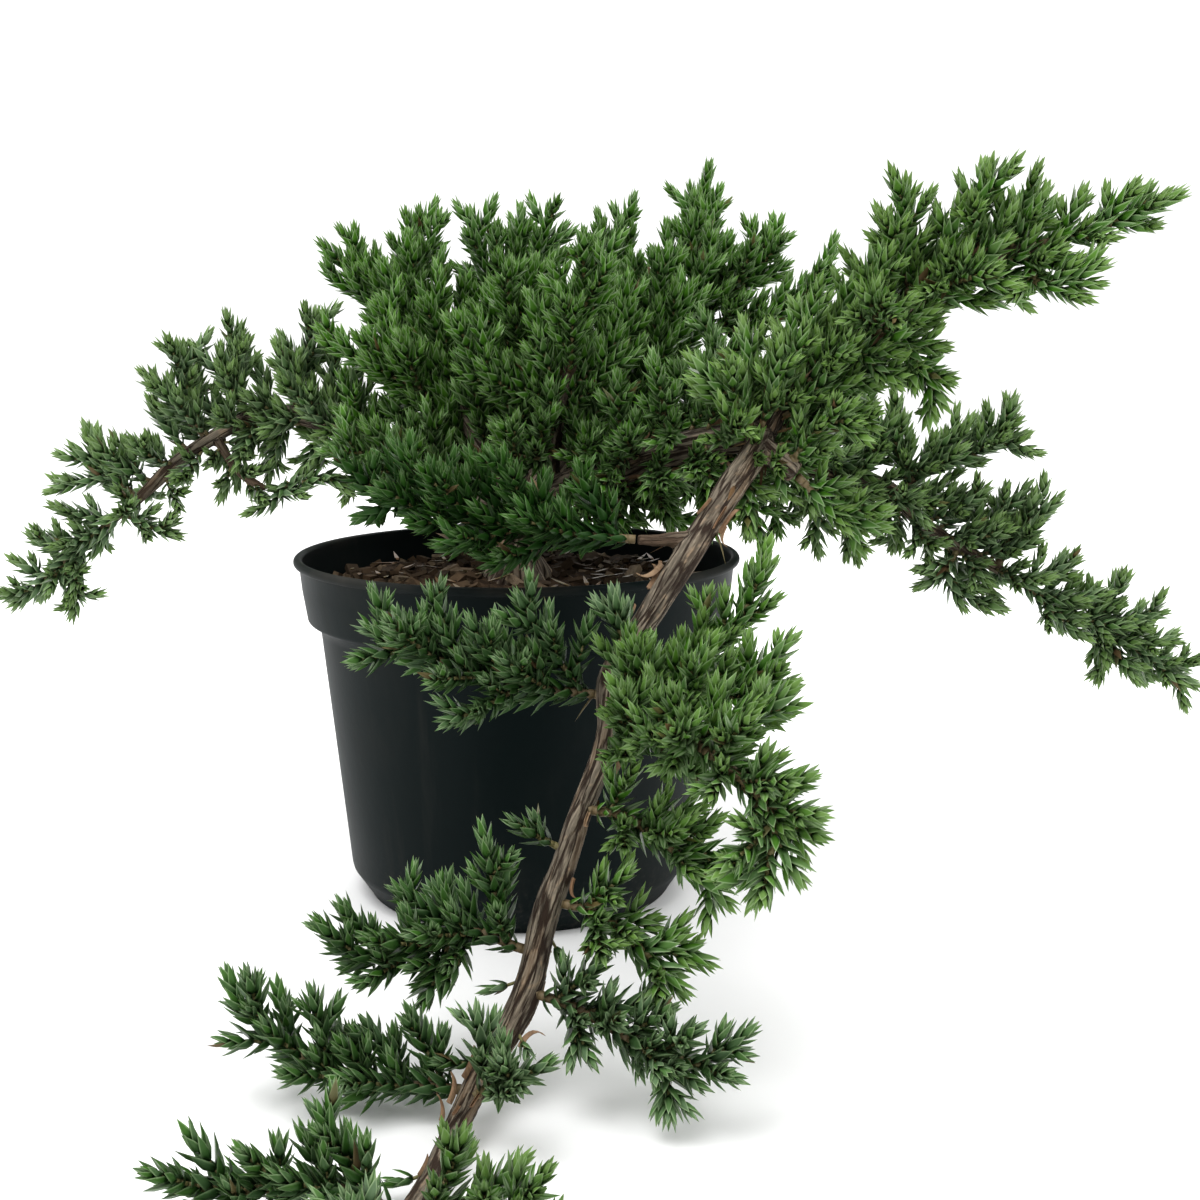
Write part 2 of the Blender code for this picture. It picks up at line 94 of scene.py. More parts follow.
# Each spray: its leader's points past the bark in mm, and how long its longest side shoot is in mm.
SPRAYS = {
    "trail_left_rim": ([(16, -63, 98), (-10, -57, 101), (-32, -51, 107)], 20),
    "trail_left_high": ([(4, -84, 71), (-12, -85, 77), (-25, -84, 83)], 18),
    "trail_left_tuft": ([(9, -103, 47), (5, -104, 50)], 5),
    "trail_left_middle": ([(-1, -110, 29), (-14, -112, 24.5), (-28, -111, 26)], 17),
    "trail_left_low": ([(-16, -124, 6), (-31, -122, 10), (-45, -119, 20)], 15),
    "trail_left_end": ([(-20, -160, 6.5), (-32, -163, 7), (-44, -166, 10)], 15),
    "trail_front_tuft": ([(27, -83, 80), (25, -83, 91)], 8),
    "trail_right_upright": ([(36, -85, 70), (48, -86, 82), (57, -85, 97)], 14),
    "trail_right_high": ([(34, -96, 72), (47, -104, 74), (60, -108, 77)], 16),
    "trail_right_near": ([(35, -107, 67), (43, -125, 68), (53, -137, 60), (49, -142, 46)], 18),
    "trail_right_middle": ([(28, -101, 49), (38, -108, 44), (48, -110, 34)], 14),
    "trail_right_low": ([(22, -109, 33), (31, -114, 28), (40, -116, 19)], 13),
    "trail_right_ground": ([(19, -118, 18), (32, -125, 14), (49, -132, 11)], 14),
    "trail_front_ground": ([(7, -136, 13), (12, -146, 16)], 12),
    "trail_right_end": ([(7, -168, 8), (17, -180, 9), (25, -192, 10)], 13),
    "trail_tip": ([(-10, -182, 5), (-14, -198, 7)], 14),
    "rising_tip": ([(131, -33, 162), (148, -35, 169)], 12),
    "rising_top": ([(103, -33, 164), (107, -34, 177)], 12),
    "rising_upright": ([(87, -34, 154), (88, -34, 173)], 13),
    "rising_outer_front": ([(98, -44, 150), (104, -56, 152)], 12),
    "rising_front": ([(80, -46, 142), (81, -60, 147)], 13),
    "rising_under": ([(117, -41, 149), (130, -44, 154)], 12),
    "rising_back": ([(84, -22, 144), (88, -8, 150)], 13),
    "rising_lower": ([(90, -36, 134), (98, -37, 122)], 13),
    "rising_droop": ([(70, -42, 103), (78, -41, 98), (87, -39, 96)], 13),
    "rising_inner": ([(50, -46, 126), (40, -48, 130)], 11),
    "rising_base_front": ([(69, -50, 120), (77, -58, 121)], 11),
    "right_tip": ([(143, 32, 66), (160, 32, 57), (181, 31, 44)], 20),
    "right_upright": ([(104, 26, 103), (117, 26, 108), (131, 26, 113)], 16),
    "right_upper": ([(130, 27, 86), (141, 27, 97)], 13),
    "right_under": ([(111, 25, 76), (116, 22, 66)], 11),
    "right_back": ([(82, 38, 100), (92, 52, 94)], 14),
    "left_tip": ([(-118, 29, 83), (-128, 27, 74), (-139, 25, 65)], 17),
    "left_tip_upper": ([(-112, 30, 102), (-122, 29, 109)], 11),
    "left_outer": ([(-92, 34, 118), (-91, 34, 137)], 12),
    "left_upright": ([(-80, 36, 126), (-76, 37, 142)], 12),
    "left_inner": ([(-60, 36, 128), (-55, 36, 145)], 12),
    "left_under": ([(-62, 32, 96), (-56, 31, 101)], 7),
    "left_back": ([(-58, 48, 114), (-66, 62, 112)], 14),
    "crown_left_outer": ([(-41, 40, 145), (-52, 44, 161)], 14),
    "crown_left_top": ([(-30, 42, 155), (-31, 47, 170)], 13),
    "crown_left_side": ([(-26, 12, 124), (-40, 8, 138)], 16),
    "crown_middle_top": ([(-5, 52, 155), (-4, 57, 168)], 14),
    "crown_middle_front": ([(1, 14, 134), (-5, 6, 150)], 16),
    "crown_right_inner": ([(22, 48, 148), (24, 61, 169)], 16),
    "crown_right_top": ([(46, 60, 162), (47, 70, 180)], 14),
    "crown_right_outer": ([(56, 46, 150), (68, 48, 164)], 16),
    "crown_right_low": ([(57, 38, 139), (72, 36, 147), (82, 35, 155)], 14),
    "crown_front_top": ([(16, -16, 144), (20, -20, 159)], 16),
    "crown_front_left": ([(-4, -10, 126), (-14, -12, 140)], 14),
    "low_front": ([(6, -14, 109), (-4, -27, 113)], 14),
    "low_left": ([(-28, -6, 106), (-44, -12, 114)], 16),
    "inner_right": ([(46, 10, 122), (54, 2, 138)], 16),
    "inner_under": ([(36, -22, 99), (42, -18, 91)], 12),
    "back_tip": ([(-11, 80, 95), (-14, 94, 86)], 17),
    "back_right": ([(8, 60, 112), (20, 74, 116)], 16),
    "back_left": ([(-22, 56, 112), (-34, 68, 114)], 16),
}


# Long side shoots on some sprays, each from its foot on the leader to its tip.
BRANCHLETS = {
    "trail_right_near": [
        [(42, -118, 67), (50, -119, 72), (57, -119, 78)], [(48, -131, 64), (55, -134, 60), (58, -135, 54)],
    ],
    "trail_right_middle": [[(38, -108, 44), (46, -106, 43), (52, -105, 39)]],
    "trail_right_low": [[(31, -114, 28), (38, -112, 27), (43, -111, 24)]],
    "trail_right_ground": [[(34, -126, 14), (36, -130, 10), (36, -134, 6)]],
    "trail_front_ground": [[(8, -137, 13), (8, -140, 16), (8, -143, 19)]],
    "trail_left_middle": [[(-2, -110, 28), (-3, -113, 24), (-5, -115, 21)]],
    "right_tip": [
        [(152, 32, 61), (155, 31, 53), (154, 30, 47)], [(150, 32, 62), (156, 31, 68), (160, 31, 74)],
    ],
    "right_upright": [
        [(100, 26, 101), (96, 24, 112), (97, 24, 121)], [(120, 26, 109), (124, 26, 114), (127, 26, 119)],
    ],
    "right_under": [[(113, 24, 72), (119, 23, 69), (125, 23, 67)]],
    "left_tip": [
        [(-126, 27, 76), (-121, 26, 69), (-122, 25, 64)], [(-108, 30, 90), (-101, 29, 87), (-94, 28, 85)],
    ],
    "left_under": [
        [(-64, 32, 99), (-68, 31, 94), (-74, 30, 91)], [(-60, 31, 99), (-53, 30, 100), (-48, 29, 97)],
    ],
    "left_tip_upper": [[(-112, 30, 100), (-119, 29, 99), (-126, 27, 97)]],
    "crown_left_side": [[(-32, 11, 130), (-42, 14, 132), (-51, 16, 139)]],
}

# Where leafy shoots clothe the limbs: the limb, from which share of it to which, the step between shoots in
# points of its route, their length in mm, how much they turn up or, below 0, down, and how much they lean
# along the limb.
CLOTHED = [
    ("leaning_limb", 0.15, 1.0, 1.9, 16, 0.0, 0.75),
    ("leaning_limb", 0.25, 1.0, 2.8, 15, -0.7, 0.6),
    ("rising_limb", 0.0, 1.0, 1.5, 18, 0.0, 1.3),
    ("rising_limb", 0.05, 0.4, 2.6, 15, -0.5, 0.8),
    ("left_limb", 0.12, 1.0, 2.4, 15, 0.35, 0.75),
    ("left_limb", 0.4, 0.75, 3.0, 13, -0.6, 0.75),
    ("left_twig", 0.1, 1.0, 1.6, 9, 0.0, 0.75),
    ("right_limb", 0.15, 1.0, 2.0, 18, 0.2, 0.9),
    ("right_limb", 0.28, 0.62, 2.2, 17, -0.7, 0.6),
    ("crown_left", 0.2, 1.0, 2.2, 20, 0.55, 0.9),
    ("crown_middle", 0.2, 1.0, 2.2, 21, 0.55, 0.9),
    ("crown_right", 0.2, 1.0, 2.2, 21, 0.55, 0.9),
    ("crown_front", 0.2, 1.0, 2.0, 18, 0.4, 0.75),
    ("back_limb", 0.25, 1.0, 2.0, 18, 0.2, 0.75),
    ("back_limb", 0.3, 0.9, 3.0, 16, -0.5, 0.75),
    ("cut_stub", 0.3, 1.0, 1.5, 13, 0.0, 0.75),
    ("trailing_limb", 0.62, 1.0, 9.0, 6, 0.0, 0.75),
]

# Each part of the plant: how yellow its green is, from 0, blue-green, to 1, the angle of its side shoots in
# degrees, how much they bend up, how much of it is young growth, how much painted shade darkens its leaves
# where the spray stands in shade, and how far in degrees its leaves stand out. The first name that fits
# counts.
HABITS = {
    "trail_left_rim": (1.0, 42, 0.16, 0.35, 0.85, 28),
    "trail_left": (0.55, 43, 0.16, 0.45, 0.65, 32),
    "trail_right_ground": (0.3, 43, 0.16, 0.6, 0.5, 32),
    "trail_right": (0.7, 43, 0.16, 1.0, 0.1, 29),
    "trail": (0.2, 43, 0.16, 0.6, 0.45, 32),
    "crown": (0.95, 37, 0.3, 0.6, 0.1, 25),
    "rising": (0.75, 38, 0.1, 1.1, 0.0, 21),
    "low": (0.8, 45, 0.2, 0.7, 0.2, 30),
    "inner": (0.85, 45, 0.15, 0.5, 0.1, 28),
    "left": (0.12, 44, 0.25, 1.0, 0.0, 25),
    "right": (0.1, 42, 0.12, 1.0, 0.0, 23),
    "back": (0.5, 46, 0.2, 0.7, 0.1, 28),
}

# The soft lights: where each hangs, its diameter in metres and its share of the main light's power.
LIGHTS = [((-0.4, -0.45, 1.5), 1.2, 1.0), ((0.9, -0.5, 0.9), 1.0, 0.2), ((0.1, 1.0, 1.1), 1.0, 0.4)]
PLANT_MIDDLE = Vector((0.0, -0.02, 0.08))


def length(name, size, about):
    """A length in metres as a setting."""
    return FloatProperty(name=name, description=about, default=size, unit="LENGTH", precision=5)


def colour(name, shade, about):
    return FloatVectorProperty(name=name, description=about, default=shade, subtype="COLOR", min=0.0, max=1.0)


class JuniperPotSettings(bpy.types.PropertyGroup):
    """Sizes and colours of the nursery pot."""

    wall: length("Wall", 1.2 * MM, "Thickness of the pot's wall")
    floor: length("Floor", 1.6 * MM, "Thickness of the pot's floor")
    base_diameter: length("Base", 77 * MM, "Diameter of the underside")
    foot_height: length("Foot height", 7 * MM, "Height of the foot below the long wall")
    wall_taper: length("Wall taper", 6.2 * MM, "How much the long wall widens on each side")
    band_height: length("Band height", 15.5 * MM, "Height of the rim band")
    band_taper: length("Band taper", 3.3 * MM, "How much the rim band widens on each side")
    band_step: length("Band step", 2.9 * MM, "How far the wall steps in below the rim band")
    lip_radius: length("Lip radius", 1.1 * MM, "Radius of the rolled lip")
    drain_diameter: length("Drain hole", 7 * MM, "Diameter of a drain hole")
    drain_ring: length("Drain ring", 56 * MM, "Diameter of the circle that the drain holes stand on")
    drain_holes: IntProperty(name="Drain holes", description="How many drain holes", default=8, min=0)
    sides: IntProperty(name="Sides", description="Flat sides round the pot", default=128, min=12)
    plastic: colour("Plastic", (0.0025, 0.0072, 0.0075), "Colour of the plastic")
    dust: colour("Dust", (0.115, 0.1, 0.085), "Colour of the dust and dried water marks")


class JuniperSoilSettings(bpy.types.PropertyGroup):
    """Sizes and colours of the potting soil and its top dressing."""

    gap: length("Gap", 0.6 * MM, "Clearance between the soil and the pot's wall")
    mound: length("Mound", 1.4 * MM, "How far the soil rises towards the trunk")
    lump: length("Lumps", 1.5 * MM, "Height of the lumps on top")
    chips: IntProperty(name="Chips", description="How many bark chips lie on the soil", default=430, min=0)
    chip_length: length("Chip length", 5.4 * MM, "Length of a large bark chip")
    peat: colour("Peat", (0.028, 0.018, 0.011), "Colour of the moist peat")
    chip: colour("Chip", (0.1, 0.067, 0.04), "Colour of a dry bark chip")


class JuniperWoodSettings(bpy.types.PropertyGroup):
    """Sizes and colours of the wood and its bark."""

    grain: length("Grain", 0.6 * MM, "Distance between points of the bark's surface")
    ridge: length("Ridge", 0.34 * MM, "Height of the bark's long ridges")
    peelings: IntProperty(name="Peelings", description="How many loose strips of bark", default=48, min=0)
    old_bark: colour("Old bark", (0.15, 0.127, 0.098), "Colour of weathered bark")
    # Painted shade: the near-black colour painted deep in the bark's furrows and in the cracks between its
    # plates, where shade falls.
    painted_furrow_shade: colour("Crevice", (0.035, 0.022, 0.015), "Colour deep in the bark's furrows")
    young_bark: colour("Young bark", (0.165, 0.115, 0.08), "Colour of the bark on thin branches")
    fresh: colour("Peeling", (0.38, 0.27, 0.175), "Colour of a loose strip's inner face")


class JuniperFoliageSettings(bpy.types.PropertyGroup):
    """Sizes and colours of the foliage."""

    leaf_length: length("Leaf length", 5.3 * MM, "Length of a full-grown leaf")
    leaf_width: length("Leaf width", 1.95 * MM, "Width of a full-grown leaf")
    leaf_thickness: length("Leaf thickness", 0.7 * MM, "Depth of a full-grown leaf's keel")
    whorl_step: length("Whorl step", 1.7 * MM, "Distance between whorls of three leaves")
    shoot_step: length("Shoot step", 2.9 * MM, "Distance between side shoots on a leader")
    bare_stalk: length("Bare stalk", 1.2 * MM, "Length of a leader's stalk without leaves")
    blue_leaf: colour("Blue leaf", (0.13, 0.2, 0.108), "Colour of a waxy blue-green leaf")
    green_leaf: colour("Green leaf", (0.072, 0.19, 0.018), "Colour of a yellow-green leaf")
    # Painted shade: the dark green painted on each leaf's foot, deep in a shoot, and over whole sprays that
    # stand in shade.
    painted_shade_leaf: colour("Shaded leaf", (0.008, 0.037, 0.007), "Colour of a leaf's foot, deep in a shoot")
    young_leaf: colour("Young leaf", (0.17, 0.27, 0.07), "Colour of a leaf at a shoot's tip")
    # Painted highlight: this pale colour is the waxy bands' own colour, and on the margins it is also a
    # painted highlight along the leaf's edges.
    bloom_and_highlight: colour("Bloom", (0.37, 0.48, 0.28), "Colour of the waxy bands and margins")
    dry_leaf: colour("Dry leaf", (0.15, 0.09, 0.05), "Colour of a dead leaf")
    dry_on_limbs: IntProperty(name="Dry on limbs", description="Dry leaves on the limbs", default=60, min=0)
    dry_on_soil: IntProperty(name="Dry on soil", description="Dry leaves on the soil", default=70, min=0)
    leaf_tip: colour("Leaf tip", (0.42, 0.36, 0.16), "Colour of a leaf's sharp tip")
    young_stalk: colour("Young stalk", (0.2, 0.2, 0.08), "Colour of a shoot's young stalk")
    old_stalk: colour("Old stalk", (0.13, 0.09, 0.055), "Colour of a shoot's old stalk")


class JuniperStageSettings(bpy.types.PropertyGroup):
    """The camera, the floor and the light."""

    camera_place: FloatVectorProperty(
        name="Camera", description="Where the camera stands", default=(0.0312, -0.3932, 0.1427),
        subtype="XYZ", unit="LENGTH",
    )
    camera_dip: FloatProperty(
        name="Dip", description="How far the camera looks down", default=math.radians(10.07), subtype="ANGLE",
    )
    camera_turn: FloatProperty(
        name="Turn", description="How far the camera turns left", default=math.radians(1.57), subtype="ANGLE",
    )
    lens: FloatProperty(name="Lens", description="Focal length in millimetres", default=48.0)
    floor: colour("Floor", (0.9, 0.9, 0.9), "Colour of the floor")
    key_power: FloatProperty(
        name="Main light", description="Power of the main light", default=13.0, unit="POWER",
    )
    sky: FloatProperty(name="Sky", description="Strength of the light from all round", default=1.0)


# Materials.

class Value:
    """A number, colour or vector on its way through a material, so that its maths reads as an expression."""

    def __init__(self, finish, socket):
        self.finish = finish
        self.socket = socket

    def maths(self, operation, first, second):
        return self.finish.node("ShaderNodeMath", {"operation": operation}, {0: first, 1: second})

    def __add__(self, other):
        return self.maths("ADD", self, other)

    def __radd__(self, other):
        return self.maths("ADD", other, self)

    def __sub__(self, other):
        return self.maths("SUBTRACT", self, other)

    def __rsub__(self, other):
        return self.maths("SUBTRACT", other, self)

    def __mul__(self, other):
        return self.maths("MULTIPLY", self, other)

    def __rmul__(self, other):
        return self.maths("MULTIPLY", other, self)


class Finish:
    """A material under construction: one Principled shader and what feeds it."""

    def __init__(self, name, **uniform):
        self.material = bpy.data.materials.new(name)
        self.material.use_nodes = True
        self.tree = self.material.node_tree
        self.shader = self.tree.nodes["Principled BSDF"]
        for socket, value in uniform.items():
            self.shader.inputs[socket.replace("_", " ").title().replace("Ior", "IOR")].default_value = value

    def node(self, kind, settings, inputs, output=0):
        """One node of any kind: its settings first, then the values or links of its sockets."""
        made = self.tree.nodes.new(kind)
        for setting, value in settings.items():
            setattr(made, setting, value)
        for socket, value in inputs.items():
            self.feed(made.inputs[socket], value)
        return Value(self, made.outputs[output])

    def feed(self, socket, value):
        if isinstance(value, Value):
            self.tree.links.new(value.socket, socket)
        elif socket.type == "RGBA":
            socket.default_value = (*value, 1.0)
        else:
            socket.default_value = value

    def place(self, stretch=(1.0, 1.0, 1.0)):
        """Object coordinates, scaled along each axis."""
        spot = self.node("ShaderNodeTexCoord", {}, {}, "Object")
        return self.node("ShaderNodeMapping", {}, {"Vector": spot, "Scale": stretch})

    def kept(self, name):
        """The vector that the mesh keeps under a name."""
        return self.node("ShaderNodeAttribute", {"attribute_name": name}, {}, "Vector")

    def parts(self, vector):
        split = self.node("ShaderNodeSeparateXYZ", {}, {"Vector": vector}).socket.node
        return [Value(self, output) for output in split.outputs]

    def noise(self, place, scale, detail, roughness):
        sockets = {"Vector": place, "Scale": scale, "Detail": detail, "Roughness": roughness}
        return self.node("ShaderNodeTexNoise", {}, sockets, "Fac")

    def between(self, value, low, high):
        """0 below low, 1 above high and smooth between them, or the other way round where high is lower."""
        settings = {"interpolation_type": "SMOOTHSTEP", "clamp": True}
        if low < high:
            sockets = {"Value": value, "From Min": low, "From Max": high}
            return self.node("ShaderNodeMapRange", settings, sockets)
        return 1.0 - self.between(value, high, low)

    def mix(self, factor, first, second):
        """A colour from first to second."""
        settings = {"data_type": "RGBA", "clamp_factor": True}
        return self.node("ShaderNodeMix", settings, {0: factor, 6: first, 7: second}, 2)

    def bump(self, height, distance, strength):
        sockets = {"Height": height, "Distance": distance, "Strength": strength}
        return self.node("ShaderNodeBump", {}, sockets)

    def finished(self, **varying):
        for socket, value in varying.items():
            self.feed(self.shader.inputs[socket.replace("_", " ").title()], value)
        return self.material


def shaded(tone, share):
    """A colour made darker or lighter by a share."""
    return tuple(share * part for part in tone)


def plastic_finish(settings):
    """Blue-black moulded plastic, with dust where hands and water left it."""
    finish = Finish("pot_plastic", specular_ior_level=0.12)
    height = finish.parts(finish.place())[2]
    cloud = finish.noise(finish.place((1.0, 1.0, 0.45)), 38.0, 4.0, 0.6)
    streak = finish.noise(finish.place((1.0, 1.0, 0.04)), 190.0, 3.0, 0.6)
    speck = finish.noise(finish.place(), 900.0, 2.0, 0.5)
    splashed = finish.between(height, 20 * MM, 0.0) * finish.between(speck, 0.45, 0.8)
    handled = finish.between(height, POT_HIGH.z - 3 * MM, POT_HIGH.z) * finish.between(cloud, 0.35, 0.7)
    dusty = finish.between(cloud, 0.5, 0.78) * 0.08 + finish.between(streak, 0.56, 0.8) * 0.07
    dusty = dusty + splashed * 0.25 + handled * 0.22
    tone = finish.mix(dusty, settings.plastic, settings.dust)
    rough = 0.42 + cloud * 0.12 + dusty * 0.6
    grain = speck * 0.6 + finish.noise(finish.place(), 320.0, 2.0, 0.5)
    return finish.finished(base_color=tone, roughness=rough, normal=finish.bump(grain, 0.05 * MM, 0.5))


def peat_finish(settings):
    """Moist peat with pale fibres."""
    finish = Finish("peat", specular_ior_level=0.2)
    crumbs = finish.noise(finish.place(), 420.0, 5.0, 0.65)
    patches = finish.noise(finish.place(), 90.0, 2.0, 0.5)
    tone = finish.mix(finish.between(crumbs, 0.4, 0.72), settings.peat, shaded(settings.peat, 3.0))
    tone = finish.mix(finish.between(patches, 0.5, 0.75) * 0.5, tone, settings.chip)
    rough = 0.85 + crumbs * 0.12
    return finish.finished(base_color=tone, roughness=rough, normal=finish.bump(crumbs, 0.5 * MM, 0.9))


def chip_finish(settings):
    """Bark chips, some redder, some bleached."""
    finish = Finish("bark_chip", specular_ior_level=0.2)
    tint, age, _ = finish.parts(finish.kept("growth"))
    fibre = finish.noise(finish.place((1.0, 0.4, 1.0)), 700.0, 4.0, 0.6)
    bleached = (0.34, 0.27, 0.19)
    tone = finish.mix(tint, shaded(settings.chip, 0.3), settings.chip)
    tone = finish.mix(finish.between(age, 0.75, 1.0) * 0.7, tone, bleached)
    tone = finish.mix(finish.between(fibre, 0.35, 0.7) * 0.55, tone, shaded(settings.chip, 0.35))
    rough = 0.75 + fibre * 0.2
    return finish.finished(base_color=tone, roughness=rough, normal=finish.bump(fibre, 0.25 * MM, 0.8))


def bark_finish(settings):
    """Stringy bark: grey-brown ridges over furrows darkened with painted shade on old wood, smooth red-brown
    on thin branches.
    """
    finish = Finish("juniper_bark", specular_ior_level=0.25)
    grain = finish.kept("grain")
    relief, girth, peel = finish.parts(finish.kept("bark"))
    fibre = finish.noise(grain, 1400.0, 4.0, 0.62)
    coarse = finish.noise(grain, 420.0, 3.0, 0.6)
    patches = finish.noise(finish.place(), 75.0, 3.0, 0.5)
    plates = {"Vector": grain, "Scale": 560.0}
    plate, warmth, _ = finish.parts(finish.node("ShaderNodeTexVoronoi", {}, plates, "Color"))
    edge = finish.node("ShaderNodeTexVoronoi", {"feature": "DISTANCE_TO_EDGE"}, plates, "Distance")
    old = finish.between(girth, 1.2, 2.2)
    crack = finish.between(edge + (fibre - 0.5) * 0.5, 0.0, 0.14)
    ridge = finish.between(relief + (fibre - 0.5) * 1.6, -0.75, 0.1)
    dark, bleached, rusty = shaded(settings.old_bark, 0.5), shaded(settings.old_bark, 2.1), (0.19, 0.12, 0.07)
    weathered = finish.mix(plate, dark, settings.old_bark)
    weathered = finish.mix(finish.between(warmth, 0.6, 0.9) * 0.5, weathered, rusty)
    weathered = finish.mix(finish.between(fibre * 0.6 + coarse * 0.4, 0.42, 0.64) * 0.85, weathered, bleached)
    weathered = finish.mix(finish.between(patches, 0.45, 0.75) * 0.5, weathered, dark)
    weathered = finish.mix(peel * finish.between(fibre, 0.3, 0.6) * 0.6, weathered, settings.fresh)
    # Painted shade: the cracks between plates are painted near-black where they fall in the low furrows.
    weathered = finish.mix(crack * ridge, settings.painted_furrow_shade, weathered)
    young = finish.between(coarse, 0.35, 0.7)
    young = finish.mix(young, settings.young_bark, shaded(settings.young_bark, 0.45))
    tone = finish.mix(old, young, weathered)
    rough = 0.68 + fibre * 0.25
    depth = finish.bump(fibre + coarse * 0.6 + crack * 0.8, 0.4 * MM, 1.0)
    return finish.finished(base_color=tone, roughness=rough, normal=depth)


def peeling_finish(settings):
    """Loose bark: tan inside, grey-brown outside."""
    finish = Finish("peeling_bark", specular_ior_level=0.25)
    side = finish.parts(finish.kept("leaf"))[1]
    tint, age, _ = finish.parts(finish.kept("growth"))
    fibre = finish.noise(finish.place((1.0, 1.0, 0.35)), 1200.0, 3.0, 0.6)
    tanned, stained = (0.22, 0.13, 0.075), (0.11, 0.065, 0.04)
    outer = finish.mix(tint, settings.old_bark, shaded(settings.old_bark, 1.9))
    inner = finish.mix(age, settings.fresh, tanned)
    tone = finish.mix(finish.between(side, 0.4, 0.6) * (0.4 + tint * 0.6), inner, outer)
    tone = finish.mix(finish.between(fibre, 0.35, 0.7) * 0.45, tone, stained)
    return finish.finished(base_color=tone, roughness=0.62 + fibre * 0.25)


def leaf_finish(settings):
    """Awl leaves: green keels, pale waxy bands, pale margins that are partly wax and partly a painted
    highlight, brighter towards a shoot's tip, with painted shade at each leaf's foot and over sprays that
    stand in shade.
    """
    finish = Finish("juniper_leaf", roughness=0.32, specular_ior_level=0.18)
    across, keel, along = finish.parts(finish.kept("leaf"))
    tint, age, dry = finish.parts(finish.kept("growth"))
    reach = finish.node("ShaderNodeMath", {"operation": "ABSOLUTE"}, {0: across})
    tone = finish.mix(tint, settings.blue_leaf, settings.green_leaf)
    tone = finish.mix(finish.between(age, 0.0, 1.0) * 0.75, tone, settings.young_leaf)
    # Painted shade: below 0, a leaf's age says how much painted shade darkens it, on sprays that stand in
    # shade.
    tone = finish.mix(0.0 - age, tone, settings.painted_shade_leaf)
    # Painted highlight: the pale margins are partly wax and partly a painted highlight along the leaf's
    # edges.
    margin_bloom_and_highlight = finish.between(keel, 0.4, 0.03) * 0.62
    inside = finish.between(keel, 0.02, 0.0)
    band = inside * finish.between(reach, 0.12, 0.35) * finish.between(reach, 0.98, 0.75)
    band = band * finish.between(along, 0.97, 0.75) * 0.6
    pale = margin_bloom_and_highlight * (1.0 - inside) + band
    # The pale wax fades out on leaves darkened by painted shade, and to half on the youngest growth.
    waxy = finish.between(age, -1.1, 0.0) * (1.0 - finish.between(age, 0.0, 1.0) * 0.5)
    tone = finish.mix(pale * waxy, tone, settings.bloom_and_highlight)
    # Painted shade: each leaf darkens towards its foot, where the leaves around it shade it.
    tone = finish.mix(finish.between(along, 0.55, 0.0) * 0.75, tone, settings.painted_shade_leaf)
    tone = finish.mix(finish.between(along, 0.93, 1.0) * 0.6, tone, settings.leaf_tip)
    tone = finish.mix(dry, tone, settings.dry_leaf)
    return finish.finished(base_color=tone)


def stalk_finish(settings):
    """Green young stalks that turn red-brown with age."""
    finish = Finish("shoot_bark", roughness=0.55, specular_ior_level=0.4)
    tint, age, _ = finish.parts(finish.kept("growth"))
    straw = (0.25, 0.19, 0.09)
    tone = finish.mix(age, settings.old_stalk, settings.young_stalk)
    tone = finish.mix(tint * 0.25, tone, straw)
    return finish.finished(base_color=tone)


def floor_finish(settings):
    finish = Finish("pale_floor", roughness=0.6, specular_ior_level=0.2)
    haze = finish.noise(finish.place(), 2.0, 2.0, 0.5)
    tone = finish.mix(haze * 0.3, settings.floor, shaded(settings.floor, 0.96))
    return finish.finished(base_color=tone)


# Modelling.

def deselect_all():
    for item in bpy.context.selected_objects:
        item.select_set(False)


def alone(item):
    """Makes an object the only one that an operator acts on."""
    deselect_all()
    item.select_set(True)
    bpy.context.view_layer.objects.active = item


def place_kept(item):
    """Moves an object's place and size into its mesh."""
    alone(item)
    bpy.ops.object.transform_apply(location=True, rotation=True, scale=True)


def apply_modifier(item, kind, **settings):
    alone(item)
    modifier = item.modifiers.new(kind.lower(), kind)
    for setting, value in settings.items():
        setattr(modifier, setting, value)
    bpy.ops.object.modifier_apply(modifier=modifier.name)


def shade(item, angle):
    alone(item)
    bpy.ops.object.shade_smooth_by_angle(angle=math.radians(angle))


def joined(into, items):
    """Joins objects into one of them."""
    alone(into)
    for item in items:
        item.select_set(True)
    bpy.ops.object.join()
    return bpy.context.object


def dressed(item, *materials):
    item.data.materials.clear()
    for material in materials:
        item.data.materials.append(material)


def arc(centre_radius, centre_height, radius, start, end, points):
    """Points of a round stretch of a profile, with angles in degrees up from +X."""
    angles = [math.radians(start + (end - start) * i / (points - 1)) for i in range(points)]
    return [(centre_radius + radius * math.cos(a), centre_height + radius * math.sin(a)) for a in angles]


def turned(name, profile, sides):
    """A closed turned shape: a disc whose edge is extruded from ring to ring and closed by a last face."""
    (radius, height), *rings = profile
    deselect_all()
    bpy.ops.mesh.primitive_circle_add(vertices=sides, radius=radius, fill_type="NGON", location=UP * height)
    item = bpy.context.object
    item.name = item.data.name = name
    place_kept(item)
    bpy.ops.object.mode_set(mode="EDIT")
    bpy.ops.mesh.select_mode(type="EDGE")
    bpy.ops.mesh.select_all(action="SELECT")
    for wider, higher in rings:
        bpy.ops.mesh.extrude_edges_move(TRANSFORM_OT_translate={"value": (0.0, 0.0, higher - height)})
        growth = wider / radius
        bpy.ops.transform.resize(value=(growth, growth, 1.0), center_override=(0.0, 0.0, higher))
        radius, height = wider, higher
    bpy.ops.mesh.edge_face_add()
    bpy.ops.mesh.select_all(action="SELECT")
    bpy.ops.mesh.normals_make_consistent(inside=False)
    bpy.ops.object.mode_set(mode="OBJECT")
    return item


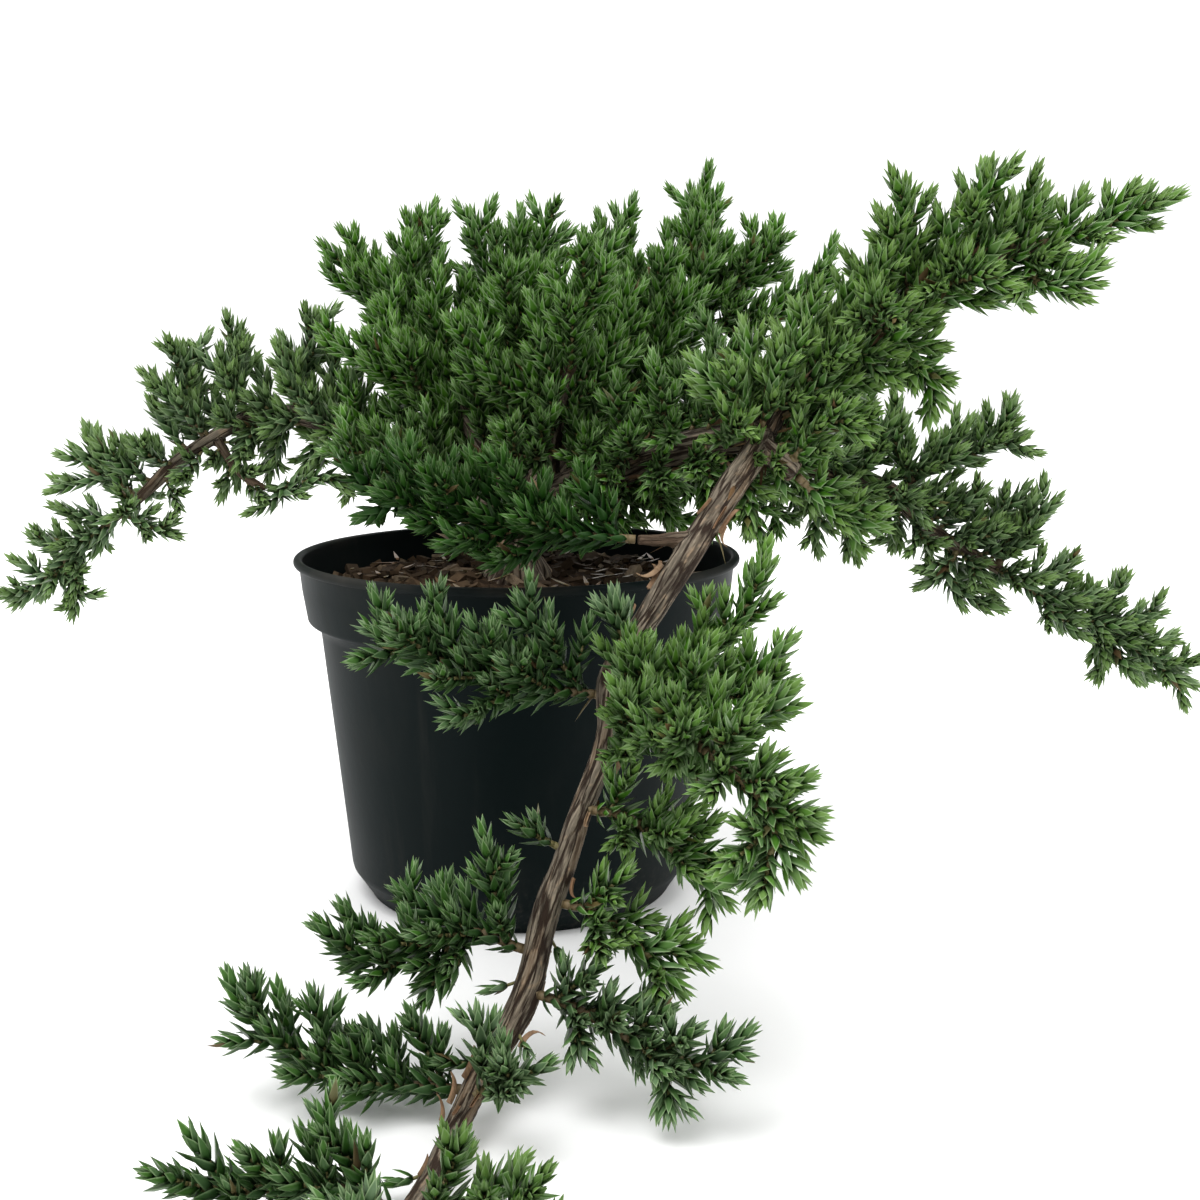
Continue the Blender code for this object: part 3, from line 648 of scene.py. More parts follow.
def read_values(collection, attribute, size, kind=np.float32):
    values = np.empty(len(collection) * size, kind)
    collection.foreach_get(attribute, values)
    return values.reshape(-1, size) if size > 1 else values


class Pattern:
    """A small shape that is modelled once and copied, with what each of its points and corners keeps."""

    def __init__(self, item, leaf, unwrapped):
        mesh = item.data
        self.points = read_values(mesh.vertices, "co", 3)
        self.corners = read_values(mesh.loops, "vertex_index", 1, np.int32)
        self.sizes = read_values(mesh.polygons, "loop_total", 1, np.int32)
        self.leaf = np.array([leaf(*point) for point in self.points], np.float32)
        owner = np.repeat(np.arange(len(self.sizes)), self.sizes)
        faces = [self.points[self.corners[owner == face]] for face in owner]
        cells = [unwrapped(self.points[v], face) for v, face in zip(self.corners, faces)]
        self.unwrapped = np.array(cells, np.float32)
        bpy.data.objects.remove(item, do_unlink=True)


class Heap:
    """Copies of one pattern: where each lies and what it keeps."""

    def __init__(self, pattern, finish):
        self.pattern = pattern
        self.finish = finish
        self.places = []
        self.growth = []

    def add(self, centres, across, out, along, growth):
        """Copies at centres, with the three axes of each, whose lengths are its sizes, and what it keeps."""
        self.places.append(np.stack([across, out, along, centres], axis=2))
        self.growth.append(growth)

    def add_one(self, centre, across, out, along, growth):
        self.add(*(np.array([row]) for row in (centre, across, out, along, growth)))

    def all(self):
        return np.concatenate(self.places), np.concatenate(self.growth)


def copies(name, heaps, materials):
    """One mesh object from the copies in several heaps, each copy with a cell of its own in the UV map."""
    heaps = [heap for heap in heaps if heap.places]
    total = sum(len(heap.all()[0]) for heap in heaps)
    columns = math.ceil(math.sqrt(total))
    points, corners, sizes, leaf, growth, cells, finishes = [], [], [], [], [], [], []
    first, cell = 0, 0
    for heap in heaps:
        places, kept = heap.all()
        pattern = heap.pattern
        count = len(places)
        placed = np.einsum("nij,vj->nvi", places[:, :, :3], pattern.points) + places[:, None, :, 3]
        points.append(placed.reshape(-1, 3))
        turns = first + np.arange(count, dtype=np.int32)[:, None] * len(pattern.points)
        corners.append((pattern.corners[None, :] + turns).ravel())
        sizes.append(np.tile(pattern.sizes, count))
        leaf.append(np.tile(pattern.leaf, (count, 1)))
        growth.append(np.repeat(kept, len(pattern.points), axis=0))
        number = cell + np.arange(count)
        corner = np.stack([number % columns, number // columns], axis=1)[:, None, :] + pattern.unwrapped[None]
        cells.append((corner / columns).reshape(-1, 2))
        finishes.append(np.full(count * len(pattern.sizes), heap.finish, np.int32))
        first += count * len(pattern.points)
        cell += count
    points, corners, sizes = np.concatenate(points), np.concatenate(corners), np.concatenate(sizes)
    mesh = bpy.data.meshes.new(name)
    mesh.vertices.add(len(points))
    mesh.vertices.foreach_set("co", points.astype(np.float32).ravel())
    mesh.loops.add(len(corners))
    mesh.loops.foreach_set("vertex_index", corners.astype(np.int32))
    mesh.polygons.add(len(sizes))
    starts = np.concatenate([[0], np.cumsum(sizes)[:-1]])
    mesh.polygons.foreach_set("loop_start", starts.astype(np.int32))
    mesh.update(calc_edges=True)
    for key, values in (("leaf", leaf), ("growth", growth)):
        kept = mesh.attributes.new(key, "FLOAT_VECTOR", "POINT")
        kept.data.foreach_set("vector", np.concatenate(values).astype(np.float32).ravel())
    sheet = mesh.uv_layers.new(name="OFBake")
    sheet.uv.foreach_set("vector", np.concatenate(cells).astype(np.float32).ravel())
    item = bpy.data.objects.new(name, mesh)
    bpy.context.scene.collection.objects.link(item)
    dressed(item, *materials)
    mesh.polygons.foreach_set("material_index", np.concatenate(finishes))
    return item


def smooth_route(points, step):
    """Points every step or so on a smooth curve through a route's points, all as rows of numbers."""
    points = np.asarray(points, float)
    ends = [2 * points[0] - points[1], *points, 2 * points[-1] - points[-2]]
    route = []
    for a, b, c, d in zip(ends, ends[1:], ends[2:], ends[3:]):
        count = max(int(np.linalg.norm((c - b)[:3]) / step), 1)
        for t in np.arange(count) / count:
            curve = 2 * b + (c - a) * t + (2 * a - 5 * b + 4 * c - d) * t**2 + (3 * b - a - 3 * c + d) * t**3
            route.append(0.5 * curve)
    return np.array([*route, points[-1]])


def way_along(route):
    """How far along a route each of its points lies."""
    return np.concatenate([[0.0], np.cumsum(np.linalg.norm(np.diff(route, axis=0), axis=1))])


def route_at(route, way, spots):
    """The points of a route at distances along it."""
    return np.stack([np.interp(spots, way, column) for column in route.T], axis=-1)


def unit(rows):
    return rows / np.maximum(np.linalg.norm(rows, axis=-1, keepdims=True), 1e-12)


def limb_routes(step):
    """Each limb's smooth centre line in metres, with the wood's radius in its fourth column."""
    return {name: smooth_route(np.array(points) * MM, step) for name, points in LIMBS.items()}


def pot_radii(settings):
    """The pot's outer radius at the foot of its wall, under its rim band and at the band's lower edge."""
    band = POT_HIGH.x - settings.band_taper
    wall = band - settings.band_step
    return wall - settings.wall_taper, wall, band


def band_heights(settings):
    """Where the step under the rim band starts, and where the band starts."""
    band_bottom = POT_HIGH.z - settings.band_height
    return band_bottom - 0.8 * settings.band_step, band_bottom


# What blocks growth.

def pot_reach(height):
    """The outer radius of the pot at a height, for a row of heights."""
    settings = bpy.context.scene.juniper_pot
    band_bottom = POT_HIGH.z - settings.band_height
    heights = [0.0, settings.foot_height, band_bottom - settings.band_step, band_bottom, POT_HIGH.z]
    return np.interp(height, heights, [settings.base_diameter / 2, *pot_radii(settings), POT_HIGH.x])


def free(points, room):
    """True for each point that is off the ground and off the pot and its soil, with room to spare."""
    reach = np.hypot(points[..., 0], points[..., 1])
    height = points[..., 2]
    outside = reach > pot_reach(height) + room
    above = height > POT_HIGH.z + room
    within = (reach < POT_HIGH.x - 6 * MM) & (height > SOIL_TOP + room)
    return (height > room) & (outside | above | within)


# The pot.

class JUNIPER_OT_pot(bpy.types.Operator):
    """Models the nursery pot."""

    bl_idname = "juniper.pot"
    bl_label = "Nursery pot"

    def execute(self, context):
        settings = context.scene.juniper_pot
        pot = turned("pot", self.profile(settings), settings.sides)
        self.drill(pot, settings)
        shade(pot, 32)
        dressed(pot, plastic_finish(settings))
        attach(pot, "root")
        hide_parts("nursery_pot")
        return {"FINISHED"}

    def profile(self, settings):
        """From the underside out, up the outer side, over the lip, down the inner side to the floor."""
        top, rim = POT_HIGH.z, POT_HIGH.x
        base, wall, lip = settings.base_diameter / 2, settings.wall, settings.lip_radius
        foot, long_wall, band = pot_radii(settings)
        step_bottom, band_bottom = band_heights(settings)
        foot_top, foot_round = settings.foot_height, 1.0 * MM
        long_height = step_bottom - foot_top
        outer = [(base - 2 * foot_round, 0.0), *arc(base - foot_round, foot_round, foot_round, 270, 350, 5)]
        outer += [(foot - 0.7 * MM, foot_top - 1.0 * MM), (foot - 0.15 * MM, foot_top - 0.2 * MM)]
        outer += [(foot + 0.1 * MM, foot_top + 0.8 * MM)]
        for share in (0.25, 0.5, 0.75, 0.985):
            outer.append((foot + settings.wall_taper * share, foot_top + long_height * share))
        outer += [(long_wall + 0.25 * MM, step_bottom + 0.3 * MM), (band - 1.1 * MM, band_bottom - 0.45 * MM)]
        outer += arc(band - 0.7 * MM, band_bottom + 0.75 * MM, 0.95 * MM, 300, 365, 5)
        outer += [(band + 0.5 * settings.band_taper - 0.3 * MM, band_bottom + 0.5 * settings.band_height)]
        outer += [(rim - lip - 0.35 * MM, top - 2.3 * lip), (rim - lip - 0.15 * MM, top - 2.0 * lip)]
        outer += arc(rim - lip, top - lip, lip, -60, 180, 13)
        inner = [(rim - lip - wall - 0.1 * MM, top - 2.4 * lip), (band - wall, band_bottom + 1.2 * MM)]
        inner += [(band - wall - 0.8 * MM, band_bottom + 0.2 * MM), (long_wall - wall, step_bottom)]
        inner += [(foot - wall, foot_top), (base - wall, settings.floor + 1.0 * MM)]
        inner += [(base - wall - 1.0 * MM, settings.floor)]
        return outer + inner

    def drill(self, pot, settings):
        """Cuts the drain holes through the floor."""
        drills = []
        for i in range(settings.drain_holes):
            turn = math.tau * i / settings.drain_holes
            spot = Matrix.Rotation(turn, 3, "Z") @ Vector((settings.drain_ring / 2, 0.0, settings.floor / 2))
            bpy.ops.mesh.primitive_cylinder_add(
                vertices=24, radius=settings.drain_diameter / 2, depth=6 * settings.floor, location=spot
            )
            drills.append(bpy.context.object)
        if not drills:
            return
        drill = joined(drills[-1], drills)
        apply_modifier(pot, "BOOLEAN", operation="DIFFERENCE", solver="EXACT", object=drill)
        bpy.data.objects.remove(drill, do_unlink=True)


# The soil.

class JUNIPER_OT_soil(bpy.types.Operator):
    """Models the potting soil, lumpy on top."""

    bl_idname = "juniper.soil"
    bl_label = "Potting soil"

    def execute(self, context):
        settings = context.scene.juniper_soil
        pot = context.scene.juniper_pot
        low = pot.floor + 0.3 * MM
        step_bottom = band_heights(pot)[0]
        long_wall = pot_radii(pot)[1] - pot.wall - settings.gap
        level = SOIL_TOP - settings.mound
        edge = long_wall + 1.2 * MM
        profile = [(pot.base_diameter / 2 - 3 * MM, low), (long_wall - pot.wall_taper, pot.foot_height)]
        profile += [(long_wall - 0.2 * MM, step_bottom), (edge, level - 1.2 * MM)]
        rings = 44
        for ring in range(rings):
            share = 1.0 - ring / rings
            profile.append((edge * share, level + settings.mound * math.cos(0.5 * math.pi * share)))
        soil = turned("soil", profile, 160)
        self.roughen(soil, settings, level - 0.5 * MM)
        shade(soil, 60)
        dressed(soil, peat_finish(settings))
        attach(soil, "root")
        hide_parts("potting_soil")
        return {"FINISHED"}

    def roughen(self, soil, settings, level):
        """Raises and sinks the top above a level in coarse and fine lumps."""
        for vertex in soil.data.vertices:
            place = vertex.co
            if place.z > level:
                coarse = noise.noise(place * 140.0) + 0.6 * noise.noise(place * 330.0)
                fine = 0.45 * noise.noise(place * 900.0)
                place.z += settings.lump * (coarse + fine)


def chip_patterns():
    """Three split, irregular flakes of bark about 1 across, 1 deep and 1 long."""
    patterns = []
    for i in range(3):
        deselect_all()
        bpy.ops.mesh.primitive_cube_add(size=1.0)
        chip = bpy.context.object
        bpy.ops.object.mode_set(mode="EDIT")
        bpy.ops.mesh.select_all(action="SELECT")
        bpy.ops.mesh.subdivide(number_cuts=1, fractal=0.55, fractal_along_normal=0.4, seed=i + 3)
        bpy.ops.mesh.quads_convert_to_tris()
        bpy.ops.object.mode_set(mode="OBJECT")
        patterns.append(Pattern(chip, lambda x, y, z: (x, y, z), boxed))
    return patterns


def boxed(point, face):
    """A corner's place in its cell, from the side that its face looks to."""
    normal = np.abs(np.cross(face[1] - face[0], face[2] - face[0]))
    side = int(np.argmax(normal))
    u, v = [point[axis] + 0.5 for axis in range(3) if axis != side]
    return 0.05 + 0.3 * (side + min(max(u, 0.0), 1.0)), 0.05 + 0.9 * min(max(v, 0.0), 1.0)


class JUNIPER_OT_chips(bpy.types.Operator):
    """Scatters bark chips on the soil."""

    bl_idname = "juniper.chips"
    bl_label = "Bark chips"

    def execute(self, context):
        settings = context.scene.juniper_soil
        chance = random.Random("chips")
        heaps = [Heap(pattern, 0) for pattern in chip_patterns()]
        nearest, farthest = 7 * MM, POT_HIGH.x - 8 * MM
        for i in range(settings.chips):
            share = math.sqrt((i + 0.5) / settings.chips)
            turn = i * GOLDEN_ANGLE + chance.uniform(-0.3, 0.3)
            radius = nearest + (farthest - nearest) * share
            size = settings.chip_length * chance.uniform(0.35, 1.0) ** 1.3
            level = SOIL_TOP - settings.mound * (1.0 - math.cos(0.5 * math.pi * share))
            spot = Vector((radius * math.cos(turn), radius * math.sin(turn), level + 0.14 * size))
            roll, pitch = chance.uniform(-0.5, 0.5), chance.uniform(-0.5, 0.5)
            tilt = Matrix.Rotation(roll, 3, "X") @ Matrix.Rotation(pitch, 3, "Y")
            axes = Matrix.Rotation(chance.uniform(0.0, math.tau), 3, "Z") @ tilt
            widths = (size * chance.uniform(0.35, 0.7), size, size * chance.uniform(0.18, 0.4))
            columns = [axes.col[k] * widths[k] for k in range(3)]
            heaps[i % len(heaps)].add_one(spot, *columns, (chance.random(), chance.random(), 0.0))
        chips = copies("bark_chips", heaps, [chip_finish(settings)])
        shade(chips, 35)
        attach(chips, "root")
        return {"FINISHED"}


# The wood.

# Where the kinks of the limbs start from. Without a seed, noise_vector takes one from the clock.
KINK_SEED = 5


def limb_tube(name, route):
    """A closed tube along a limb's centre line."""
    curve = bpy.data.curves.new(name, "CURVE")
    curve.dimensions = "3D"
    curve.bevel_depth = 1.0
    curve.bevel_resolution = 3
    curve.use_fill_caps = True
    spline = curve.splines.new("POLY")
    spline.points.add(len(route) - 1)
    for point, (x, y, z, radius) in zip(spline.points, route):
        point.co = (x, y, z, 1.0)
        point.radius = radius
    tube = bpy.data.objects.new(name, curve)
    bpy.context.scene.collection.objects.link(tube)
    alone(tube)
    bpy.ops.object.convert(target="MESH")
    return bpy.context.object


class Grain:
    """Finds, for a point on the bark, its limb's centre line, how far along it lies and how it is turned."""

    def __init__(self, routes):
        self.samples = []
        for route in routes.values():
            centres = route[:, :3]
            tangents = unit(np.gradient(centres, axis=0))
            side = Vector(tangents[0]).orthogonal().normalized()
            for centre, tangent, along, radius in zip(centres, tangents, way_along(centres), route[:, 3]):
                tangent = Vector(tangent)
                side = (side - tangent * side.dot(tangent)).normalized()
                self.samples.append((Vector(centre), tangent, side, along, radius))
        self.tree = kdtree.KDTree(len(self.samples))
        for i, sample in enumerate(self.samples):
            self.tree.insert(sample[0], i)
        self.tree.balance()

    def at(self, place):
        """The outward direction, the place in the limb's own grain and the limb's radius there."""
        hits = self.tree.find_n(place, 5)
        found = min(hits, key=lambda hit: hit[2] / (self.samples[hit[1]][-1] + 0.5 * MM))
        centre, tangent, side, along, radius = self.samples[found[1]]
        offset = place - centre
        along += offset.dot(tangent)
        outward = (offset - tangent * offset.dot(tangent)).normalized()
        grain = Vector((outward.dot(side) * radius, outward.dot(tangent.cross(side)) * radius, along))
        return outward, grain, radius


class JUNIPER_OT_wood(bpy.types.Operator):
    """Models the trunk and limbs as one grown piece, with furrowed bark."""

    bl_idname = "juniper.wood"
    bl_label = "Trunk and limbs"

    def execute(self, context):
        settings = context.scene.juniper_wood
        routes = limb_routes(1.5 * MM)
        noise.seed_set(KINK_SEED)
        tubes = [limb_tube(name, self.gnarled(route)) for name, route in routes.items()]
        tubes += [limb_tube(f"root_{i}", route) for i, route in enumerate(self.roots())]
        wood = joined(tubes[0], tubes)
        wood.name = wood.data.name = "trunk_and_limbs"
        apply_modifier(wood, "REMESH", mode="VOXEL", voxel_size=settings.grain, adaptivity=0.0)
        apply_modifier(wood, "SMOOTH", factor=0.5, iterations=6)
        self.furrow(wood, routes, settings)
        wood.data.shade_smooth()
        dressed(wood, bark_finish(settings))
        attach(wood, "root")
        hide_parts("juniper_wood")
        return {"FINISHED"}

    def gnarled(self, route):
        """The route with its thickness swelling and shrinking a little, and small kinks."""
        grown = route.copy()
        for i, (x, y, z, radius) in enumerate(route):
            swell = noise.noise(Vector((x, y, z)) * 75.0)
            grown[i, 3] = radius * (0.9 + 0.12 * swell)
            fade = min(i, len(route) - 1 - i, 6) / 6
            grown[i, :3] += np.array(noise.noise_vector(Vector((x, y, z)) * 60.0)) * 0.28 * radius * fade
        return grown

    def roots(self):
        """Surface roots that leave the trunk's foot and dive into the soil."""
        level = SOIL_TOP / MM - 1.5
        for turn in (20, 95, 160, 235, 310):
            x, y = math.cos(math.radians(turn)), math.sin(math.radians(turn))
            course = ((2, 5.0, 4.4), (8, 0.0, 2.9), (14, -2.2, 1.8), (19, -6.0, 1.2))
            points = [(reach * x, reach * y, level + rise, radius) for reach, rise, radius in course]
            yield smooth_route(np.array(points) * MM, 1.5 * MM)

    def furrow(self, wood, routes, settings):
        """Pushes the surface out and in along the grain, and keeps what the bark's finish reads."""
        grain = Grain(routes)
        mesh = wood.data
        relief, spots = [], []
        for vertex in mesh.vertices:
            outward, place, radius = grain.at(vertex.co)
            fibres = Vector((place.x, place.y, place.z * 0.13))
            ridge = noise.noise(fibres * 620.0)
            broad = noise.noise(fibres * 260.0)
            split = 1.0 - 2.0 * abs(noise.noise(fibres * 380.0 + Vector((7.0, 3.0, 1.0))))
            height = 0.5 * ridge + 0.7 * broad - 0.5 * max(split - 0.55, 0.0)
            flake = noise.noise(Vector((place.x, place.y, place.z * 0.3)) * 300.0 + Vector((0.0, 5.0, 9.0)))
            lift = 0.45 * min(max((flake - 0.05) * 9.0, 0.0), 1.0)
            strength = min(max((radius - 1.0 * MM) / (2.0 * MM), 0.12), 1.0)
            knot = max(noise.noise(vertex.co * 170.0) - 0.25, 0.0)
            vertex.co += outward * settings.ridge * (strength * (height + lift) + 1.5 * knot)
            relief.append((height + lift, radius / MM, max(1.0 - abs(flake - 0.1) * 25.0, 0.0)))
            spots.append(fibres)
        for key, values in (("bark", relief), ("grain", spots)):
            kept = mesh.attributes.new(key, "FLOAT_VECTOR", "POINT")
            kept.data.foreach_set("vector", np.array(values, np.float32).ravel())


def strip_pattern(curl):
    """A thin strip of bark 1 wide and 1 long from its foot, whose free end curls out by an angle."""
    deselect_all()
    bpy.ops.mesh.primitive_grid_add(x_subdivisions=2, y_subdivisions=7, size=1.0, location=(0.0, 0.5, 0.0))
    strip = bpy.context.object
    place_kept(strip)
    apply_modifier(strip, "SOLIDIFY", thickness=1.0, offset=-1.0)
    for vertex in strip.data.vertices:
        x, y, z = vertex.co
        taper = 1.0 - 0.75 * max(y - 0.45, 0.0) / 0.55
        bend = curl * y * y
        out = 0.5 * y * math.sin(bend) + 0.1 * (1.0 - math.cos(3.0 * x))
        vertex.co = (x * taper, out - z * 0.06, y * (0.35 + 0.65 * math.cos(bend)))
    return strip


def spot_on_limb(routes, limbs, low, high, chance):
    """A random place on one of some limbs: its centre, the limb's radius and the direction along it."""
    route = routes[chance.choice(limbs)]
    k = int(chance.uniform(low, high) * (len(route) - 2))
    centre = Vector(route[k, :3])
    return centre, route[k, 3], (Vector(route[k + 1, :3]) - centre).normalized()


def turned_out(along, chance):
    """A random direction square to another."""
    return Matrix.Rotation(chance.uniform(0.0, math.tau), 3, along) @ along.orthogonal().normalized()


class JUNIPER_OT_peelings(bpy.types.Operator):
    """Hangs loose strips of bark on the old limbs."""

    bl_idname = "juniper.peelings"
    bl_label = "Peeling bark"

    def execute(self, context):
        settings = context.scene.juniper_wood
        routes = limb_routes(1.0 * MM)
        chance = random.Random("peelings")
        heaps = []
        for curl in (0.3, 0.7, 1.1):
            strip = strip_pattern(curl)
            points = [tuple(np.round(vertex.co, 5)) for vertex in strip.data.vertices]
            outer = set(points[: len(points) // 2])

            def kept(x, y, z):
                return x, 1.0 if tuple(np.round((x, y, z), 5)) in outer else 0.0, z

            heaps.append(Heap(Pattern(strip, kept, boxed), 0))
        limbs = ["trailing_limb"] * 8 + ["leaning_limb"] * 2
        limbs += ["rising_limb", "stem", "right_limb", "left_limb"]
        for _ in range(settings.peelings):
            centre, radius, along = spot_on_limb(routes, limbs, 0.03, 0.93, chance)
            along = along * chance.choice((1.0, 1.0, -1.0))
            out = turned_out(along, chance)
            along = (along + out.cross(along) * chance.uniform(-0.2, 0.2)).normalized()
            size = chance.uniform(3.0, 8.0) * MM
            foot = centre + out * (radius + 0.05 * MM)
            tip = foot + along * size + out * 0.3 * size
            if not free(np.array([foot, tip]), 0.3 * MM).all():
                continue
            width = chance.uniform(0.25, 0.8) * MM
            growth = (chance.random(), chance.random(), 0.0)
            heap = chance.choice(heaps)
            heap.add_one(foot, out.cross(along) * width, out * size, along * size, growth)
        strips = copies("peeling_bark", heaps, [peeling_finish(settings)])
        shade(strips, 50)
        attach(strips, "root")
        return {"FINISHED"}


# The foliage.

# A leaf's width at heights from its foot to its tip: in full for the near sprays, and plainer for the others.
LEAF_OUTLINE = {0.0: 0.7, 0.26: 1.0, 0.6: 0.68, 1.0: 0.0}
PLAIN_OUTLINE = {0.0: 0.75, 0.36: 1.0, 1.0: 0.0}
# How far a leaf's tip bends in, as a share of its depth.
LEAF_BEND = 0.55
# How far in degrees the leaves at a shoot's very tip stand out, and how much all leaves turn up to the light.
TIP_SPREAD = 14
LEAF_LIFT = 0.1
# Which share of the leaves on the shoots has dried.
DRY_SHARE = 0.007
# The direction that whorls are counted round from, which no shoot follows.
OFF_AXIS = np.array([0.31, 0.87, 0.38])
# The sunny side of the limbs, where the clothing shoots start.
SUNNY_SIDE = Vector((0.36, 0.48, 0.8))
# The shortest shoot that divides again, the distance between its small shoots and their angle in degrees.
DIVIDING_REACH = 9 * MM
SMALL_STEP = 3.4 * MM
SMALL_ANGLE = 46.0


def leaf_pattern(widths):
    """An awl-shaped leaf 1 wide, 1 deep and 1 long: a flat upper face, a keel below and a sharp, bent tip."""
    deselect_all()
    bpy.ops.mesh.primitive_cone_add(vertices=3, radius1=0.5, radius2=0.0, depth=1.0, location=(0.0, 0.0, 0.5))
    leaf = bpy.context.object
    place_kept(leaf)
    bpy.ops.object.mode_set(mode="EDIT")
    for height in list(widths)[1:-1]:
        bpy.ops.mesh.select_all(action="SELECT")
        bpy.ops.mesh.bisect(plane_co=(0.0, 0.0, height), plane_no=(0.0, 0.0, 1.0))
    bpy.ops.object.mode_set(mode="OBJECT")
    mesh = leaf.data
    keel = max(mesh.vertices, key=lambda v: abs(v.co.y) if v.co.z < 0.01 else 0.0).co.y
    for vertex in mesh.vertices:
        ring = min(widths, key=lambda height: abs(height - vertex.co.z))
        is_keel = vertex.co.y * keel > 0.0 and abs(vertex.co.x) < 0.05
        across = 0.0 if is_keel or ring == 1.0 else math.copysign(0.5, vertex.co.x)
        depth = -1.0 if is_keel and ring < 1.0 else 0.0
        bend = LEAF_BEND * ring**2
        vertex.co = (across * widths[ring], depth * widths[ring] ** 0.7 + bend, ring)
    bpy.context.view_layer.update()
    alone(leaf)
    bpy.ops.object.mode_set(mode="EDIT")
    bpy.ops.mesh.select_all(action="SELECT")
    bpy.ops.mesh.normals_make_consistent(inside=False)
    bpy.ops.object.mode_set(mode="OBJECT")

    def kept(x, y, z):
        bend = LEAF_BEND * z**2
        width = np.interp(z, list(widths), list(widths.values()))
        is_keel = y - bend < -0.05
        return (0.0 if width < 0.01 else 2.0 * x / width, 1.0 if is_keel else 0.0, z)

    def unwrapped(point, face):
        flat = all(y - LEAF_BEND * z**2 > -0.05 for _, y, z in face)
        start = 0.52 if flat else 0.04
        return start + 0.44 * (point[0] + 0.5), 0.04 + 0.92 * point[2]

    return Pattern(leaf, kept, unwrapped)


def stalk_pattern():
    """A short five-sided length of stalk, 1 in radius and 1 long."""
    deselect_all()
    bpy.ops.mesh.primitive_cylinder_add(vertices=5, radius=1.0, depth=1.0, location=(0.0, 0.0, 0.5))
    stalk = bpy.context.object
    place_kept(stalk)

    def unwrapped(point, face):
        return 0.5 + 0.42 * point[0], 0.06 + 0.88 * point[2]

    return Pattern(stalk, lambda x, y, z: (0.0, 0.0, z), unwrapped)


